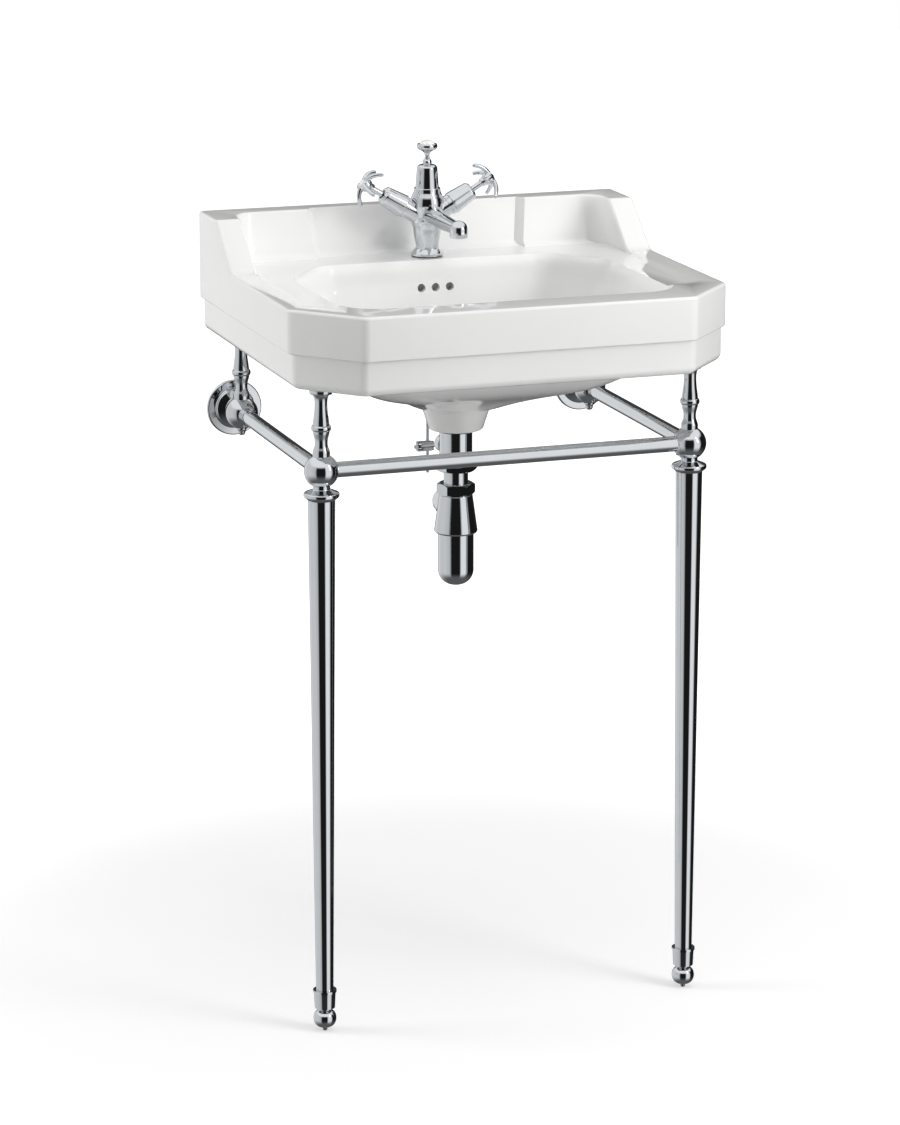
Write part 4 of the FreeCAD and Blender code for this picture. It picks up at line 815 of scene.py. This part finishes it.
@dataclass
class Studio:
    """A plain white studio: floor, soft lamps, the room that the chrome mirrors, and the camera.

    The room has a dark front, a pale wall to the left and a tall white screen to the right. Only the strip
    lamp is mirrored, and it leaves the streaks in the glaze.
    """

    floor_half_m: float = 9.0
    floor_colour: str = "#CDCDCD"
    floor_near_glow: float = 0.46
    floor_near_m: float = 0.55
    floor_far_m: float = 1.4
    room_light: float = 0.3
    room_tones: tuple[RoomTone, ...] = (
        RoomTone(-180, 0.05), RoomTone(-162, 0.05), RoomTone(-146, 0.9), RoomTone(-112, 0.72),
        RoomTone(-72, 0.74), RoomTone(-40, 0.6), RoomTone(-28, 0.012), RoomTone(26, 0.012),
        RoomTone(36, 0.98), RoomTone(68, 0.98), RoomTone(84, 0.012), RoomTone(126, 0.012),
        RoomTone(155, 0.03), RoomTone(180, 0.06),
    )
    ceiling: float = 1.0
    ceiling_from: float = 0.38
    ceiling_to: float = 0.64
    ground: float = 0.12
    ground_from: float = -0.3
    ground_to: float = -0.85
    soft_boxes: tuple[SoftBox, ...] = (
        SoftBox("top_box", turn_deg=20.0, height_m=3.2, away_m=0.5, width_m=2.2, tall_m=2.2, watts=30.0),
        SoftBox("right_box", turn_deg=42.0, height_m=1.7, away_m=3.0, width_m=1.3, tall_m=2.2, watts=52.0),
        SoftBox("left_box", turn_deg=-108.0, height_m=1.4, away_m=3.0, width_m=1.2, tall_m=2.0, watts=42.0),
        SoftBox("strip_box", turn_deg=40.0, height_m=1.8, away_m=2.6, width_m=0.22, tall_m=1.5, watts=6.0,
                mirrored=True),
    )
    lamp_aim: tuple[float, float, float] = (0.0, 0.0, 0.8)
    camera_place: tuple[float, float, float] = (-1.6092, -4.6507, 1.7984)
    camera_yaw_deg: float = 18.82
    camera_pitch_deg: float = 11.6
    camera_range_m: float = 100.0
    focal_px: float = 4039.0
    sensor_mm: float = 36.0
    centre_px: tuple[float, float] = (450.0, 367.0)

    def floor(self) -> None:
        """Lays the pale floor, which looks white to the camera and keeps the object's shadow."""
        half = self.floor_half_m
        mesh = bpy.data.meshes.new("studio_floor")
        corners = [(-half, -half, 0), (half, -half, 0), (half, half, 0), (-half, half, 0)]
        mesh.from_pydata(corners, [], [(0, 1, 2, 3)])
        material, tree = blank_material("studio_paper")
        place = add_node(tree, "ShaderNodeTexCoord").outputs["Object"]
        away = add_node(tree, "ShaderNodeVectorMath", {0: place}, operation="LENGTH")
        glow = add_node(tree, "ShaderNodeMapRange", {
            "Value": away.outputs["Value"], "From Min": self.floor_near_m, "From Max": self.floor_far_m,
            "To Min": self.floor_near_glow, "To Max": 1.0,
        }, interpolation_type="SMOOTHSTEP")
        strength = arithmetic(tree, "MULTIPLY", seen(tree), glow.outputs["Result"])
        paper = add_node(tree, "ShaderNodeBsdfDiffuse", {"Color": linear(self.floor_colour)})
        light = add_node(tree, "ShaderNodeEmission", {"Strength": strength})
        both = add_node(tree, "ShaderNodeAddShader", {0: paper.outputs[0], 1: light.outputs[0]})
        add_node(tree, "ShaderNodeOutputMaterial", {"Surface": both.outputs[0]})
        sheet = link_piece("studio_floor", mesh, material)
        sheet.visible_glossy = False

    def round_tone(self, tree: bpy.types.NodeTree, way: bpy.types.NodeSocket) -> bpy.types.NodeSocket:
        """Gives the room its tones, going round.

        Args:
            tree: The room's tree.
            way: The direction that is looked in.

        Returns:
            The tone in that direction.
        """
        yaw = math.radians(self.camera_yaw_deg)
        along = add_node(tree, "ShaderNodeVectorMath", {
            0: way, 1: (-math.sin(yaw), -math.cos(yaw), 0.0),
        }, operation="DOT_PRODUCT")
        across = add_node(tree, "ShaderNodeVectorMath", {
            0: way, 1: (math.cos(yaw), -math.sin(yaw), 0.0),
        }, operation="DOT_PRODUCT")
        turn = arithmetic(tree, "ARCTAN2", across.outputs["Value"], along.outputs["Value"])
        share = add_node(tree, "ShaderNodeMapRange", {
            "Value": turn, "From Min": -math.pi, "From Max": math.pi,
        })
        ramp = add_node(tree, "ShaderNodeValToRGB", {"Fac": share.outputs["Result"]})
        stops = ramp.color_ramp.elements
        while len(stops) < len(self.room_tones):
            stops.new(0.5)
        for stop, tone in zip(stops, self.room_tones):
            stop.position = (tone.turn_deg + 180) / 360
            stop.color = grey(tone.brightness)
        return ramp.outputs["Color"]

    def surround(self) -> None:
        """Paints the room: even for its light, toned for what chrome mirrors, and white to the camera."""
        world = bpy.data.worlds.new("studio_room")
        bpy.context.scene.world = world
        world.use_nodes = True
        tree = world.node_tree
        tree.nodes.clear()
        way = add_node(tree, "ShaderNodeTexCoord").outputs["Generated"]
        room = self.round_tone(tree, way)
        height = add_node(tree, "ShaderNodeSeparateXYZ", {0: way}).outputs["Z"]
        for start, end, brightness in (
            (self.ceiling_from, self.ceiling_to, self.ceiling),
            (self.ground_from, self.ground_to, self.ground),
        ):
            reach = add_node(tree, "ShaderNodeMapRange", {
                "Value": height, "From Min": start, "From Max": end,
            }, interpolation_type="SMOOTHSTEP")
            room = blend(tree, reach.outputs["Result"], room, grey(brightness))
        rays = add_node(tree, "ShaderNodeLightPath").outputs
        even = add_node(tree, "ShaderNodeBackground", {"Color": WHITE, "Strength": self.room_light})
        mirrored = add_node(tree, "ShaderNodeBackground", {"Color": room, "Strength": 1.0})
        white = add_node(tree, "ShaderNodeBackground", {"Color": WHITE, "Strength": 1.0})
        lit = add_node(tree, "ShaderNodeMixShader", {
            0: rays["Is Glossy Ray"], 1: even.outputs[0], 2: mirrored.outputs[0],
        })
        mixed = add_node(tree, "ShaderNodeMixShader", {0: seen(tree), 1: lit.outputs[0], 2: white.outputs[0]})
        add_node(tree, "ShaderNodeOutputWorld", {"Surface": mixed.outputs[0]})

    def hang(self, box: SoftBox) -> None:
        """Hangs one lamp.

        Args:
            box: The lamp's place, size and power.
        """
        data = bpy.data.lights.new(box.name, "AREA")
        data.shape = "RECTANGLE"
        data.size = box.width_m
        data.size_y = box.tall_m
        data.energy = box.watts
        lamp = bpy.data.objects.new(box.name, data)
        bpy.context.scene.collection.objects.link(lamp)
        turn = math.radians(box.turn_deg)
        place = Vector((box.away_m * math.sin(turn), -box.away_m * math.cos(turn), box.height_m))
        lamp.location = place
        lamp.rotation_euler = (Vector(self.lamp_aim) - place).to_track_quat("-Z", "Y").to_euler()
        lamp.visible_glossy = box.mirrored

    def camera(self) -> None:
        """Sets the camera where the photograph was taken from."""
        data = bpy.data.cameras.new("photo_camera")
        data.sensor_width = self.sensor_mm
        data.lens = self.focal_px * self.sensor_mm / FRAME_HEIGHT_PX
        data.shift_x = (FRAME_WIDTH_PX / 2 - self.centre_px[0]) / FRAME_HEIGHT_PX
        data.shift_y = (self.centre_px[1] - FRAME_HEIGHT_PX / 2) / FRAME_HEIGHT_PX
        data.clip_end = self.camera_range_m
        camera = bpy.data.objects.new("photo_camera", data)
        bpy.context.scene.collection.objects.link(camera)
        camera.location = self.camera_place
        tilt = math.radians(90 - self.camera_pitch_deg)
        camera.rotation_euler = (tilt, 0.0, -math.radians(self.camera_yaw_deg))
        bpy.context.scene.camera = camera

    def build(self) -> None:
        """Sets up the whole studio."""
        bpy.context.scene.view_settings.view_transform = "Standard"
        self.floor()
        self.surround()
        for box in self.soft_boxes:
            self.hang(box)
        self.camera()
        LOG.info("studio: floor, room, lamps and camera")


def main() -> None:
    """Loads the frame, sets up the studio and dresses each sub-assembly."""
    logging.basicConfig(level=logging.INFO, format="%(name)s: %(message)s")
    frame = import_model()
    finishes = finish_materials()
    Studio().build()
    for group in (Basin, MixerTap, PopUpWaste, BottleTrap, Washstand):
        group(frame, finishes).build()


if __name__ == "__main__":
    main()
